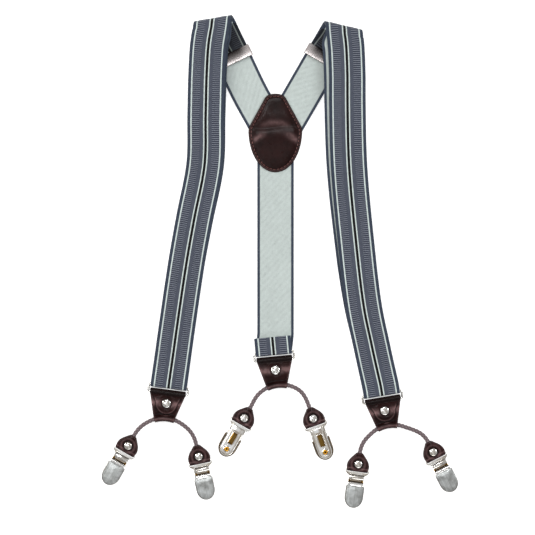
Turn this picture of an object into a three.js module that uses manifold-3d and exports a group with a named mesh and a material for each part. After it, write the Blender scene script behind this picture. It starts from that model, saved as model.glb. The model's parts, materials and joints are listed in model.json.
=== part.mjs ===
// Y-back suspenders: doubled elastic front straps folded at the shoulders, a leather yoke patch,
// strap adjusters, and three leather tabs that each carry a cord with two swivelling clips.
// The assembly lies flat. Millimetres, +Z up, +Y towards the shoulder folds, +X to the right.
import * as THREE from "three";
import { mergeVertices } from "three/addons/utils/BufferGeometryUtils.js";
import Module from "manifold-3d";

// ---------- driving dimensions ----------
const WEB_WIDTH = 35;
const WEB_THICK = 1.4;
const LAYER_GAP = 0.3;
const LAYER_PITCH = WEB_THICK + LAYER_GAP;
const HARDWARE_Z = 3.9; // mid height of the rings, tabs, cords and clips

const PATCH = {
  x: -2.6, topY: 162.9, shoulderY: 157.2, shoulderHalf: 10.2, waistY: 127, waistHalf: 25.8, bottomY: 86.2,
};
const PATCH_THICK = 1.1;
const WEB_AT_PATCH_Z = PATCH_THICK + 0.2 + WEB_THICK / 2;
const BACK_STRAP_X = -2.4;
const ARM_CUT_Y = 104.2; // where both arms and the back strap are cut off under the patch

const FLOOR_LAYER_Z = 0.2 + WEB_THICK / 2; // mid height of a layer lying on the floor
const ADJUSTER_LAYER_Z = 3.0; // mid height of the lower layer inside an adjuster
const FOLD_INNER_RADIUS = 3.2; // mid radius of the inner layer in a shoulder fold
const FOLD_OUTER_RADIUS = FOLD_INNER_RADIUS + LAYER_PITCH;
const FOLD_LEAD = 5.6; // clear run between the square stations and the fold's first ruling

// Where the webbing changes height: from an end, over a length along y.
const ARM_RISE = { startY: 152, length: 16 }; // out of the patch, up to the adjuster
const ARM_DROP = 9.5; // past the adjuster, down to the floor
const DRAPE = { topY: 172, length: 110 }; // from the shoulder fold down to the floor
const RING_RISE = { above: 34, length: 30 }; // a front strap, up to its ring
const BACK_DROP = 20; // the back strap, from the patch down to the floor
const BACK_RISE = { above: 30, length: 26 }; // the back strap, up to its ring
const BACK_FLAP = { end: 15, sag: 1.25 }; // the back strap's doubled end above its ring

const RING = { wireRadius: 1.1, barPitch: 7.2, halfWidth: 19.1 };
const RING_WRAP_RADIUS = RING.wireRadius + 0.2 + WEB_THICK / 2;
const WRAP_TAIL = 4; // how far a front strap runs on after its ring before it meets the return layer

const TAB = { topHalf: 17.2, bottomHalf: 10, halfThick: 1.2, rollOuter: 2.3, rollInner: 1.3, tubeDrop: 23.8 };
const TAB_TUBE = { outer: 3.3, bore: 2.35, halfAngle: 19 };
const TAB_FLAP = { thick: 0.8, radius: 10.5, tipV: 20.2 };
const TAB_RIVET_V = 9.6;
const TAB_RIVET_RADIUS = 4.1;
const TAB_SIDE_EASE = 0.3; // the tab's lower corners meet the rolled tube's ends

const CORD = { radius: 2, arcRadius: 30, arcHalfAngle: 31 };

const END = { fold: 1.75, barHole: 1.0, halfThick: 1.3, topV: -15.6, maxHalf: 10.7 };
const END_SLEEVE = {
  outer: 2.9, bore: 2.2, mouthV: -16.4, bodyV: -12.2, coneV: -9.9, floorV: -11.0, seatGap: 0.4,
};
const END_RIVET_V = -5.6;
const END_RIVET_RADIUS = 3.7;
// Right-hand side of a leather end, from its fold up to the cord; [u, v].
const END_SIDE = [[10, 2.75], [10, 0.2], [10.7, -3.2], [10.2, -6.4], [8.5, -9.8], [5.7, -13.2], [3.6, -15.6]];
const SHANK_RADIUS = 1.2;
const SHANK_HOLE = 1.45;

const CLIP = {
  barRadius: 0.8, loopHalf: 11.2, slotHalf: 10.3, slotEnd: 2.3, bodyHalf: 6.6, tipV: 34.6,
  backLow: -2.6, backHigh: -1.8, bridgeHalf: 7.2, pinV: 12.9, pinW: 0.8, earHalf: 7.2, earInner: 6.5,
  earRadius: 1.4, pinHole: 0.95, emboss: 0.35,
};
// Side profiles, [v, w], and plan outlines, [u, v], of a clip's pressed sheet.
const LOOP_SIDE = [[10.8, -0.5], [11.2, 0], [11.2, 2.6], [9.6, 4.2], [7.8, 5.2], [6.6, 7]];
const BRIDGE = [
  [4.4, -2.6], [9.5, -2.6], [9.5, 1.9], [9.1, 2.6], [8, 3.1], [6.6, 3.2], [5.4, 2.7], [4.4, 1.4],
];
const EMBOSSED_PANEL = [[-2.7, 10.5], [2.7, 10.5], [2.7, 22.8], [-2.7, 22.8]];
const EAR_FOOT = [[11.5, -0.4], [10.2, -0.8], [9.6, -2.6], [15.6, -2.6], [15.6, -0.8], [14.4, 0.2]];
const JAW_TEETH = [
  [27.2, 2.5], [33.2, 2.5], [33.2, 0.4], [32.4, -0.5], [31.4, 0.2],
  [30.4, -0.5], [29.4, 0.2], [28.4, -0.5], [27.2, 0.6],
];
const LEVER = {
  rimV: 12.2, rimLength: 2.4, tipV: 36.3, tipLength: 10.3, half: 8.8, rimHalf: 7.5,
  low: 2.3, high: 3.2, knuckleHalf: 6.1, knuckleRadius: 1.5, pinRadius: 0.7, jawHalf: 5.4,
};
const PAD = { startV: 26.2, endV: 33.4, half: 4.9, low: -1.5, high: -0.8 };
const EYELET = { v: 28.3, flange: 2.4, barrel: 1.25, hole: 0.8, seatRadius: 3.6 };

const FRAME = {
  half: 19, wall: 1.1, length: 10.6, plateLow: 5.75, plateHigh: 6.65, bottom: 0.5, rimRadius: 0.75,
};
const FRAME_LEVER = {
  half: 17.3, pinD: 8.6, pinZ: 1.2, low: 0.65, high: 1.75, startD: 0.9, endD: 9.3, pinRadius: 0.55,
};
const RUNNING_CLEARANCE = 0.2; // round a pin in its hole

const NICKEL = { color: 0xcfd0cf, roughness: 0.18, metalness: 1 };
const SATIN = { color: 0x9a9fa0, roughness: 0.42, metalness: 1 };
const BRASS = { color: 0xc98a1e, roughness: 0.25, metalness: 1 };
const LEATHER = { color: 0x3a2120, roughness: 0.34, metalness: 0 };
const WEBBING = { color: 0x626873, roughness: 0.85, metalness: 0 };
const BRAID = { color: 0x3c2b2c, roughness: 0.7, metalness: 0 };
const GRIP = { color: 0x6b6560, roughness: 0.6, metalness: 0 };

// ---------- plan layout ----------
const STRAPS = {
  left: {
    armPoints: [[4.0, 105.5], [-12.8, 136], [-28.0, 163.7], [-41.6, 192.2]],
    armAngle: 115.6, foldAngle: 9.7, foldStart: [-59.0, 228.6],
    frontPoints: [
      [-66.4, 208], [-68.0, 184], [-69.2, 140], [-70.3, 94.4], [-80.2, 42.5], [-87.2, 3.2], [-96.5, -59],
    ],
    returnShift: [[208, 1.8], [160, 1.6], [60, 0.8], [0, 0]], armShift: 0, adjusterY: 191.2,
  },
  right: {
    armPoints: [[-8.0, 106.2], [7.0, 132.3], [19.6, 154.1], [38.0, 186.0]],
    armAngle: 60, foldAngle: -13.2, foldStart: [58.8, 222.0],
    frontPoints: [
      [64.9, 206], [66.0, 180], [66.2, 150], [67.9, 94.4], [74.4, 22.4], [82.2, -42.9], [89.6, -79],
    ],
    returnShift: [[206, -5.0], [160, -4.6], [60, -3.6], [0, -2.6], [-65, 0]],
    armShift: -1.5, adjusterY: 191.6,
  },
};
const ASSEMBLIES = {
  left: {
    bar: [-105.6, -125.6], tilt: -7.5, side: 1, tubeSlope: -2.5,
    ends: { a: { entry: [-138.5, -166.8], lean: -30 }, b: { entry: [-78.1, -175.8], lean: 12 } },
  },
  centre: {
    bar: [-3.4, -93.7], tilt: 5.5, side: -1, tubeSlope: 8,
    ends: { a: { entry: [-27.1, -140.2], lean: -30 }, b: { entry: [30.3, -139.9], lean: 19.5 } },
  },
  right: {
    bar: [100.5, -132.7], tilt: 9.4, side: 1, tubeSlope: 11.4,
    ends: { a: { entry: [78.3, -183.1], lean: -8 }, b: { entry: [143.9, -172.5], lean: 27 } },
  },
};

// ---------- small helpers ----------
const wasm = await Module();
wasm.setup();
const UP = new THREE.Vector3(0, 0, 1);
const radians = THREE.MathUtils.degToRad;
const vec = (x, y, z = 0) => new THREE.Vector3(x, y, z);

function solid(geometry) {
  const bare = geometry.clone();
  bare.deleteAttribute("normal");
  bare.deleteAttribute("uv");
  const welded = mergeVertices(bare, 1e-4);
  return new wasm.Manifold(new wasm.Mesh({
    numProp: 3,
    vertProperties: new Float32Array(welded.attributes.position.array),
    triVerts: new Uint32Array(welded.index.array),
  }));
}

function geometryOf(manifold) {
  const mesh = manifold.getMesh();
  const geometry = new THREE.BufferGeometry();
  geometry.setAttribute("position", new THREE.BufferAttribute(new Float32Array(mesh.vertProperties), 3));
  geometry.setIndex(new THREE.BufferAttribute(new Uint32Array(mesh.triVerts), 1));
  geometry.computeVertexNormals();
  return geometry;
}

// A flat outline in the u-v plane, raised from w = low to w = high.
function plate(points, low, high) {
  const shape = new THREE.Shape(points.map(([u, v]) => new THREE.Vector2(u, v)));
  const geometry = new THREE.ExtrudeGeometry(shape, { depth: high - low, bevelEnabled: false });
  geometry.translate(0, 0, low);
  return solid(geometry);
}

// A side profile in the v-w plane, drawn out from u = -half to u = +half.
function bar(points, half) {
  const shape = new THREE.Shape(points.map(([v, w]) => new THREE.Vector2(v, w)));
  const geometry = new THREE.ExtrudeGeometry(shape, { depth: 2 * half, bevelEnabled: false });
  geometry.translate(0, 0, -half);
  geometry.applyMatrix4(new THREE.Matrix4().makeBasis(vec(0, 1, 0), vec(0, 0, 1), vec(1, 0, 0)));
  return solid(geometry);
}

function circlePoints(cx, cy, radius, count = 20, start = 0, sweep = 360) {
  const closed = sweep === 360;
  const steps = closed ? count : count - 1;
  return Array.from({ length: count }, (_, i) => {
    const angle = radians(start + (sweep * i) / steps);
    return [cx + radius * Math.cos(angle), cy + radius * Math.sin(angle)];
  });
}

// A turned piece about the w axis at (0, v); the profile lists [radius, w] from axis to axis.
function turned(profile, v, segments = 14) {
  const geometry = new THREE.LatheGeometry(profile.map(([r, w]) => new THREE.Vector2(r, w)), segments);
  geometry.rotateX(Math.PI / 2);
  geometry.translate(0, v, 0);
  return solid(geometry);
}

function roundRod(from, to, radius, segments = 10) {
  const direction = to.clone().sub(from);
  const geometry = new THREE.CylinderGeometry(radius, radius, direction.length(), segments);
  const turn = new THREE.Quaternion().setFromUnitVectors(vec(0, 1, 0), direction.clone().normalize());
  geometry.applyQuaternion(turn);
  const middle = from.clone().add(to).multiplyScalar(0.5);
  geometry.translate(middle.x, middle.y, middle.z);
  return solid(geometry);
}

// The local axes of a hanging piece: v points down along it, w to its front, u across.
function axesAt(x, y, lean, side = 1) {
  const v = vec(Math.sin(radians(lean)), -Math.cos(radians(lean)));
  const w = vec(0, 0, side);
  const u = v.clone().cross(w);
  const matrix = new THREE.Matrix4().makeBasis(u, v, w);
  matrix.setPosition(x, y, HARDWARE_Z);
  return matrix;
}

// ---------- the assembly ----------
const group = new THREE.Group();
group.name = "suspenders";
const pivots = {};

function add(name, body, finish, matrix = null) {
  const geometry = geometryOf(body);
  if (matrix) geometry.applyMatrix4(matrix);
  const mesh = new THREE.Mesh(geometry, new THREE.MeshStandardMaterial(finish));
  mesh.name = name;
  group.add(mesh);
}

function pivot(name, point, axis, matrix) {
  pivots[name] = {
    at: point.clone().applyMatrix4(matrix),
    axis: axis.clone().transformDirection(matrix),
  };
}

// ---------- webbing ----------
function smooth(t) {
  const c = Math.min(Math.max(t, 0), 1);
  return c * c * (3 - 2 * c);
}

// Linear look-up in a list of [key, value] pairs whose keys fall.
function lookUp(pairs, key) {
  if (key >= pairs[0][0]) return pairs[0][1];
  for (let i = 1; i < pairs.length; i++) {
    const [k1, v1] = pairs[i];
    const [k0, v0] = pairs[i - 1];
    if (key >= k1) return v0 + ((v1 - v0) * (k0 - key)) / (k0 - k1);
  }
  return pairs[pairs.length - 1][1];
}

function planPath(points, step) {
  const curve = new THREE.CatmullRomCurve3(points.map(([x, y]) => vec(x, y)), false, "centripetal");
  return curve.getSpacedPoints(Math.ceil(curve.getLength() / step));
}

// Stations square to a path of centre points; turnedOver swaps the side that the left edge is on.
// A fixed edge direction keeps the stations parallel where the path sidles.
function squareStations(centres, turnedOver, fixedEdge = null) {
  return centres.map((centre, i) => {
    const before = centres[Math.max(i - 1, 0)];
    const after = centres[Math.min(i + 1, centres.length - 1)];
    const tangent = after.clone().sub(before).normalize();
    const flat = vec(tangent.x, tangent.y).normalize();
    const edge = fixedEdge ?? vec(-flat.y, flat.x).multiplyScalar(turnedOver ? -1 : 1);
    tangent.addScaledVector(edge, -tangent.dot(edge));
    return station(centre, edge, tangent.clone().cross(edge).normalize());
  });
}

function station(centre, edge, normal) {
  const half = edge.clone().multiplyScalar(WEB_WIDTH / 2);
  return { left: centre.clone().add(half), right: centre.clone().sub(half), normal };
}

// Rulings of a flat strip rolled half a turn about an oblique, level fold line.
function foldStations(strap, radius, shift) {
  const f = vec(Math.cos(radians(strap.foldAngle)), Math.sin(radians(strap.foldAngle)));
  const n = vec(-f.y, f.x);
  const d = vec(Math.cos(radians(strap.armAngle)), Math.sin(radians(strap.armAngle)));
  const along = d.dot(f);
  const across = d.dot(n);
  const axisZ = FLOOR_LAYER_Z + FOLD_OUTER_RADIUS;
  const start = vec(...strap.foldStart).addScaledVector(f, -shift / across);
  const wrap = Math.PI * radius;
  const offsets = [-2, 0];
  const parts = 12;
  for (let i = 1; i <= parts; i++) offsets.push((wrap * i) / parts);
  offsets.push(wrap + 2);
  const at = (q, h) => {
    const angle = THREE.MathUtils.clamp(q / radius, 0, Math.PI);
    const out = q < 0 ? q : q > wrap ? wrap - q : radius * Math.sin(angle);
    const point = start.clone().addScaledVector(f, (along * q - h) / across).addScaledVector(n, out);
    point.z = axisZ - radius * Math.cos(angle);
    return point;
  };
  const stations = offsets.map((q) => {
    const angle = THREE.MathUtils.clamp(q / radius, 0, Math.PI);
    const normal = n.clone().multiplyScalar(-Math.sin(angle)).add(vec(0, 0, Math.cos(angle)));
    return { left: at(q, WEB_WIDTH / 2), right: at(q, -WEB_WIDTH / 2), normal };
  });
  return { stations, armEnd: at(-2, 0), frontStart: at(wrap + 2, 0) };
}

function ribbon(stations) {
  const positions = [];
  const half = WEB_THICK / 2;
  for (const { left, right, normal } of stations) {
    for (const [edge, sign] of [[left, 1], [right, 1], [right, -1], [left, -1]]) {
      const corner = edge.clone().addScaledVector(normal, sign * half);
      positions.push(corner.x, corner.y, corner.z);
    }
  }
  const index = [];
  const last = stations.length - 1;
  for (let i = 0; i < last; i++) {
    for (let k = 0; k < 4; k++) {
      const a = 4 * i + k;
      const b = 4 * i + ((k + 1) % 4);
      index.push(a, b, b + 4, a, b + 4, a + 4);
    }
  }
  index.push(0, 2, 1, 0, 3, 2);
  const e = 4 * last;
  index.push(e, e + 1, e + 2, e, e + 2, e + 3);
  const geometry = new THREE.BufferGeometry();
  geometry.setAttribute("position", new THREE.Float32BufferAttribute(positions, 3));
  geometry.setIndex(index);
  const body = solid(geometry);
  if (body.volume() > 0) return body;
  geometry.setIndex(index.slice().reverse());
  return solid(geometry);
}

// Height of the lower arm layer, from the patch through the adjuster and down to the fold.
function armHeight(y, strap) {
  const rise = smooth((y - ARM_RISE.startY) / ARM_RISE.length);
  const adjusterEnd = strap.adjusterY + FRAME.length * Math.sin(radians(strap.armAngle));
  const drop = smooth((y - adjusterEnd) / ARM_DROP);
  const risen = WEB_AT_PATCH_Z + (ADJUSTER_LAYER_Z - WEB_AT_PATCH_Z) * rise;
  return risen - (ADJUSTER_LAYER_Z - FLOOR_LAYER_Z) * drop;
}

// Height of the upper front layer above the fold's level, draped to the floor and up to the ring.
function frontHeight(y, ringY) {
  const top = FLOOR_LAYER_Z + 2 * FOLD_OUTER_RADIUS;
  const floor = FLOOR_LAYER_Z + LAYER_PITCH;
  const drape = smooth((DRAPE.topY - y) / DRAPE.length);
  const rise = smooth((ringY + RING_RISE.above - y) / RING_RISE.length);
  return top + (floor - top) * drape + (HARDWARE_Z + RING_WRAP_RADIUS - floor) * rise;
}

function returnHeight(y, ringY) {
  const top = FLOOR_LAYER_Z + 2 * FOLD_OUTER_RADIUS - LAYER_PITCH;
  const drape = smooth((DRAPE.topY - y) / DRAPE.length);
  const rise = smooth((ringY + RING_RISE.above - y) / RING_RISE.length);
  return top + (FLOOR_LAYER_Z - top) * drape + (HARDWARE_Z - RING_WRAP_RADIUS - FLOOR_LAYER_Z) * rise;
}

function ringBarOf(assembly) {
  const v = vec(Math.sin(radians(assembly.tilt)), -Math.cos(radians(assembly.tilt)));
  const lower = vec(...assembly.bar, HARDWARE_Z);
  return { v, lower, upper: lower.clone().addScaledVector(v, -RING.barPitch) };
}

// Half a turn about the ring's upper bar, from above it (side 1) or from below it (side -1).
function ringWrap(upper, v, side) {
  const steps = 8;
  return Array.from({ length: steps + 1 }, (_, i) => {
    const angle = (Math.PI * i) / steps;
    return upper.clone()
      .addScaledVector(v, RING_WRAP_RADIUS * Math.sin(angle))
      .addScaledVector(UP, side * RING_WRAP_RADIUS * Math.cos(angle));
  });
}

function wrapStations(centres, v, side) {
  const edge = vec(v.y, -v.x);
  return centres.map((centre, i) => {
    const angle = (Math.PI * Math.min(i, 8)) / 8;
    const tangent = v.clone().multiplyScalar(Math.cos(angle)).addScaledVector(UP, -side * Math.sin(angle));
    const across = side > 0 ? edge : edge.clone().negate();
    return station(centre, across, tangent.cross(across));
  });
}

function armCentres(strap, fold) {
  const points = [...strap.armPoints, [fold.armEnd.x, fold.armEnd.y]];
  const centres = planPath(points, 2.5);
  const last = centres.length - 1;
  return centres.map((c, i) => vec(c.x, c.y, armHeight(i === last ? 1e3 : c.y, strap)));
}

function frontStrap(side) {
  const strap = STRAPS[side];
  const ring = ringBarOf(ASSEMBLIES[side]);
  const fold = foldStations(strap, FOLD_OUTER_RADIUS, 0);
  const arm = armCentres(strap, fold).slice(0, -1);
  const armTrim = arm.filter((c) => c.y < fold.armEnd.y - FOLD_LEAD);
  const front = frontCentres(strap, fold.frontStart, ring, () => 0, frontHeight);
  const wrap = ringWrap(ring.upper, ring.v, 1);
  const tail = [WRAP_TAIL / 2, WRAP_TAIL].map((t) => wrap[8].clone().addScaledVector(ring.v, -t));
  const stations = [
    ...squareStations(armTrim, false),
    ...fold.stations,
    ...squareStations(front, true),
    ...wrapStations([...wrap, ...tail], ring.v, 1),
  ];
  return ribbon(stations).intersect(armSide(side));
}

function frontCentres(strap, start, ring, shiftAt, heightAt) {
  const goal = ring.upper.clone().addScaledVector(ring.v, -8);
  const path = planPath([[start.x, start.y], ...strap.frontPoints, [goal.x, goal.y]], 7);
  const kept = path.filter((c) => c.y < start.y - 6 && c.y > goal.y + 3);
  kept.push(goal.clone());
  return kept.map((c, i) => {
    const next = kept[Math.min(i + 1, kept.length - 1)];
    const prev = kept[Math.max(i - 1, 0)];
    const t = vec(next.x - prev.x, next.y - prev.y).normalize();
    const toRight = vec(-t.y, t.x);
    const moved = vec(c.x, c.y).addScaledVector(toRight, shiftAt(c.y));
    moved.z = heightAt(c.y, ring.upper.y);
    return moved;
  });
}

// The half of the plan that one arm may fill under the yoke patch; everything elsewhere is kept.
function armSide(side) {
  const sign = side === "left" ? -1 : 1;
  const gap = 0.2;
  const edgeX = PATCH.x + sign * gap;
  const far = 400;
  const outsideX = sign * 40;
  const upper = [
    [edgeX, ARM_CUT_Y], [edgeX, far], [sign * far, far],
    [sign * far, -far], [outsideX, -far], [outsideX, ARM_CUT_Y],
  ];
  return plate(sign > 0 ? upper : upper.slice().reverse(), -5, 60);
}

function returnStrap(side) {
  const strap = STRAPS[side];
  const ring = ringBarOf(ASSEMBLIES[side]);
  const fold = foldStations(strap, FOLD_INNER_RADIUS, strap.armShift);
  const arm = armCentres(strap, foldStations(strap, FOLD_OUTER_RADIUS, 0));
  const endY = fold.armEnd.y - FOLD_LEAD;
  const from = strap.adjusterY + 1.2;
  const angle = radians(strap.armAngle);
  const armEdge = vec(-Math.sin(angle), Math.cos(angle));
  const inArm = [];
  const steps = 12;
  for (let i = 0; i <= steps; i++) {
    const y = from + ((endY - from) * i) / steps;
    const j = arm.findIndex((c) => c.y >= y);
    const t = (y - arm[j - 1].y) / (arm[j].y - arm[j - 1].y);
    const c = arm[j - 1].clone().lerp(arm[j], t);
    c.z = armHeight(y, strap) + LAYER_PITCH;
    const shift = strap.armShift * smooth((y - from - 6) / (endY - from - 6));
    inArm.push(c.addScaledVector(armEdge, shift));
  }
  const shiftAt = (y) => lookUp(strap.returnShift, y);
  const front = frontCentres(strap, fold.frontStart, ring, shiftAt, returnHeight);
  const last = front.length - 1;
  front[last] = ring.upper.clone().addScaledVector(ring.v, -WRAP_TAIL - LAYER_GAP);
  front[last].setZ(HARDWARE_Z - RING_WRAP_RADIUS);
  const frontStations = squareStations(front, true);
  frontStations[last] = station(front[last], vec(ring.v.y, -ring.v.x), vec(0, 0, -1));
  return ribbon([...squareStations(inArm, false, armEdge), ...fold.stations, ...frontStations]);
}

function backStrap() {
  const ring = ringBarOf(ASSEMBLIES.centre);
  const wrap = ringWrap(ring.upper, ring.v, -1);
  const endY = ring.upper.y;
  const centres = [];
  const steps = 26;
  const topY = ARM_CUT_Y - LAYER_GAP;
  for (let i = 0; i < steps; i++) {
    const y = topY + ((endY + 6 - topY) * i) / (steps - 1);
    const drop = smooth((PATCH.bottomY - 0.7 - y) / BACK_DROP);
    const rise = smooth((endY + BACK_RISE.above - y) / BACK_RISE.length);
    const floorZ = FLOOR_LAYER_Z;
    const ringZ = HARDWARE_Z - RING_WRAP_RADIUS;
    const z = WEB_AT_PATCH_Z + (floorZ - WEB_AT_PATCH_Z) * drop + (ringZ - floorZ) * rise;
    const x = BACK_STRAP_X + (ring.upper.x - BACK_STRAP_X) * smooth((endY + BACK_DROP - y) / BACK_DROP);
    centres.push(vec(x, y, z));
  }
  const flap = [4, 8, 12, BACK_FLAP.end].map((t) => {
    const c = ring.upper.clone().addScaledVector(ring.v, -t);
    return c.setZ(HARDWARE_Z + RING_WRAP_RADIUS - BACK_FLAP.sag * smooth((t - 2) / 10));
  });
  return ribbon([
    ...squareStations(centres, false),
    ...wrapStations(wrap, ring.v, -1),
    ...squareStations([wrap[8], ...flap], true).slice(1),
  ]);
}

// ---------- yoke patch ----------
function patchOutline() {
  const { x, topY, shoulderY, shoulderHalf, waistY, waistHalf, bottomY } = PATCH;
  const shape = new THREE.Shape();
  shape.moveTo(x - shoulderHalf, shoulderY);
  shape.bezierCurveTo(x - 7.4, topY + 0.3, x + 7.4, topY + 0.3, x + shoulderHalf, shoulderY);
  shape.lineTo(x + waistHalf - 1.6, waistY + 4.6);
  shape.quadraticCurveTo(x + waistHalf, waistY + 0.8, x + waistHalf, waistY - 2.4);
  shape.bezierCurveTo(x + waistHalf - 0.6, 104, x + 14.6, bottomY, x, bottomY);
  shape.bezierCurveTo(x - 14.6, bottomY, x - waistHalf + 0.6, 104, x - waistHalf, waistY - 2.4);
  shape.quadraticCurveTo(x - waistHalf, waistY + 0.8, x - waistHalf + 1.6, waistY + 4.6);
  return shape.getPoints(8).map((p) => [p.x, p.y]).slice(0, -1);
}

function yokePatch() {
  const outline = patchOutline().reverse();
  const innerLow = WEB_AT_PATCH_Z + WEB_THICK / 2 + 0.2;
  add("yoke_patch_outer", plate(outline, 0, PATCH_THICK), LEATHER);
  add("yoke_patch_inner", plate(outline, innerLow, innerLow + PATCH_THICK), LEATHER);
}

// ---------- adjusters ----------
function adjuster(side) {
  const strap = STRAPS[side];
  const fold = foldStations(strap, FOLD_OUTER_RADIUS, 0);
  const arm = armCentres(strap, fold);
  const j = arm.findIndex((c) => c.y >= strap.adjusterY);
  const t = (strap.adjusterY - arm[j - 1].y) / (arm[j].y - arm[j - 1].y);
  const centre = arm[j - 1].clone().lerp(arm[j], t);
  const along = arm[j].clone().sub(arm[j - 1]).setZ(0).normalize();
  const across = along.clone().cross(UP);
  const matrix = new THREE.Matrix4().makeBasis(across, along, UP);
  matrix.setPosition(centre.x, centre.y, 0);

  const { half, wall, length, plateLow, plateHigh, bottom, rimRadius } = FRAME;
  const rect = (u0, u1, v0, v1) => [[u0, v0], [u1, v0], [u1, v1], [u0, v1]];
  let frame = plate(rect(-half, half, 0, length), plateLow, plateHigh);
  for (const s of [-1, 1]) {
    const u = s * (half - wall / 2);
    frame = frame.add(plate(rect(u - wall / 2, u + wall / 2, 0.4, length), bottom, plateHigh - 0.1));
  }
  const rimZ = plateHigh - rimRadius + 0.25;
  frame = frame.add(roundRod(vec(-half, 0.2, rimZ), vec(half, 0.2, rimZ), rimRadius, 10));
  const { pinD, pinZ, pinRadius, startD, endD, low, high } = FRAME_LEVER;
  const pinRod = (reach, radius) => roundRod(vec(-reach, pinD, pinZ), vec(reach, pinD, pinZ), radius, 10);
  frame = frame.subtract(pinRod(half + 1, pinRadius + RUNNING_CLEARANCE));
  add(`adjuster_frame_${side}`, frame, NICKEL, matrix);

  const lever = plate(rect(-FRAME_LEVER.half, FRAME_LEVER.half, startD, endD), low, high);
  add(`adjuster_lever_${side}`, lever.add(pinRod(half, pinRadius)), NICKEL, matrix);
  pivot(`adjuster_${side}_slide`, vec(0, 0, 0), vec(0, -1, 0), matrix);
  pivot(`adjuster_${side}_lever`, vec(0, pinD, pinZ), vec(1, 0, 0), matrix);
}

// ---------- rings, tabs and cords ----------
function wireRing() {
  const { barPitch, halfWidth } = RING;
  const corners = [
    vec(-halfWidth, 0), vec(halfWidth, 0), vec(halfWidth, -barPitch), vec(-halfWidth, -barPitch),
  ];
  let body = null;
  corners.forEach((corner, i) => {
    const next = corners[(i + 1) % 4];
    const ball = new THREE.SphereGeometry(RING.wireRadius, 10, 6);
    ball.translate(corner.x, corner.y, corner.z);
    const piece = roundRod(corner, next, RING.wireRadius).add(solid(ball));
    body = body ? body.add(piece) : piece;
  });
  return body;
}

function arcAbout(centre, radius, slope, halfAngle, steps) {
  return Array.from({ length: steps + 1 }, (_, i) => {
    const angle = radians(90 + slope + halfAngle - (2 * halfAngle * i) / steps);
    return centre.clone().add(vec(radius * Math.cos(angle), radius * Math.sin(angle)));
  });
}

function tubeAlong(points, radius, sides, steps) {
  const shape = new THREE.Shape(circlePoints(0, 0, radius, sides).map(([x, y]) => new THREE.Vector2(x, y)));
  const curve = new THREE.CatmullRomCurve3(points, false, "centripetal");
  return solid(new THREE.ExtrudeGeometry(shape, { steps, extrudePath: curve, bevelEnabled: false }));
}

function tabBody(matrix, arcCentre, slope) {
  const { topHalf, bottomHalf, halfThick, rollOuter, rollInner, tubeDrop } = TAB;
  const lowHalf = bottomHalf + TAB_SIDE_EASE;
  const topV = -rollOuter - 1;
  const outline = [
    [-topHalf, topV], [topHalf, topV], [topHalf, 0], [lowHalf, tubeDrop], [-lowHalf, tubeDrop], [-topHalf, 0],
  ];
  const leaf = [[0, -halfThick], [tubeDrop, -halfThick], [tubeDrop, halfThick], [0, halfThick]];
  const side = bar(leaf, topHalf + 1)
    .add(bar(circlePoints(0, 0, rollOuter, 20), topHalf + 1));
  const { thick, radius, tipV } = TAB_FLAP;
  const flap = [[-13, 1], ...circlePoints(0, tipV - radius, radius, 11, 180, -180), [13, 1]];
  let body = side.intersect(plate(outline, -5, 5))
    .add(plate(flap, halfThick - 0.2, halfThick + thick))
    .subtract(bar(circlePoints(0, 0, rollInner, 16), topHalf + 2))
    .subtract(turned([[0, -6], [SHANK_HOLE, -6], [SHANK_HOLE, 6], [0, 6]], TAB_RIVET_V, 16));
  body = solid(geometryOf(body).applyMatrix4(matrix));
  const { outer, bore, halfAngle } = TAB_TUBE;
  const tubeArc = arcAbout(arcCentre, CORD.arcRadius, slope, halfAngle, 8);
  const boreArc = arcAbout(arcCentre, CORD.arcRadius, slope, halfAngle + 8, 12);
  return body.add(tubeAlong(tubeArc, outer, 12, 8)).subtract(tubeAlong(boreArc, bore, 10, 12));
}

function rivet(radius, halfThick, flapThick) {
  const front = halfThick + flapThick + 0.1;
  const back = -halfThick - 0.1;
  const backHead = [[0, back - 0.6], [radius - 0.5, back - 0.6], [radius, back - 0.1], [radius, back]];
  const shank = [[SHANK_RADIUS, back], [SHANK_RADIUS, front]];
  const dome = [
    [radius, front], [radius, front + 0.25], [radius * 0.8, front + 0.75], [radius * 0.45, front + 1.05],
    [0, front + 1.15],
  ];
  return turned([...backHead, ...shank, ...dome], 0, 14);
}

function cordPath(arcCentre, slope, ends) {
  const arc = arcAbout(arcCentre, CORD.arcRadius, slope, CORD.arcHalfAngle, 12);
  const finish = (from, fromDirection, end) => {
    const v = vec(Math.sin(radians(end.lean)), -Math.cos(radians(end.lean)));
    const goal = vec(...end.entry, HARDWARE_Z);
    const reach = from.distanceTo(goal) * 0.4;
    const leaving = from.clone().addScaledVector(fromDirection, reach);
    const arriving = goal.clone().addScaledVector(v, -reach);
    const bend = new THREE.CubicBezierCurve3(from, leaving, arriving, goal);
    const { floorV, mouthV, seatGap } = END_SLEEVE;
    const seated = goal.clone().addScaledVector(v, floorV - mouthV - 2 * seatGap);
    const middle = goal.clone().lerp(seated, 0.5);
    return [...bend.getPoints(6).slice(1), middle, seated];
  };
  const leftWay = arc[0].clone().sub(arc[1]).normalize();
  const rightWay = arc[12].clone().sub(arc[11]).normalize();
  return [...finish(arc[0], leftWay, ends.a).reverse(), ...arc, ...finish(arc[12], rightWay, ends.b)];
}

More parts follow.
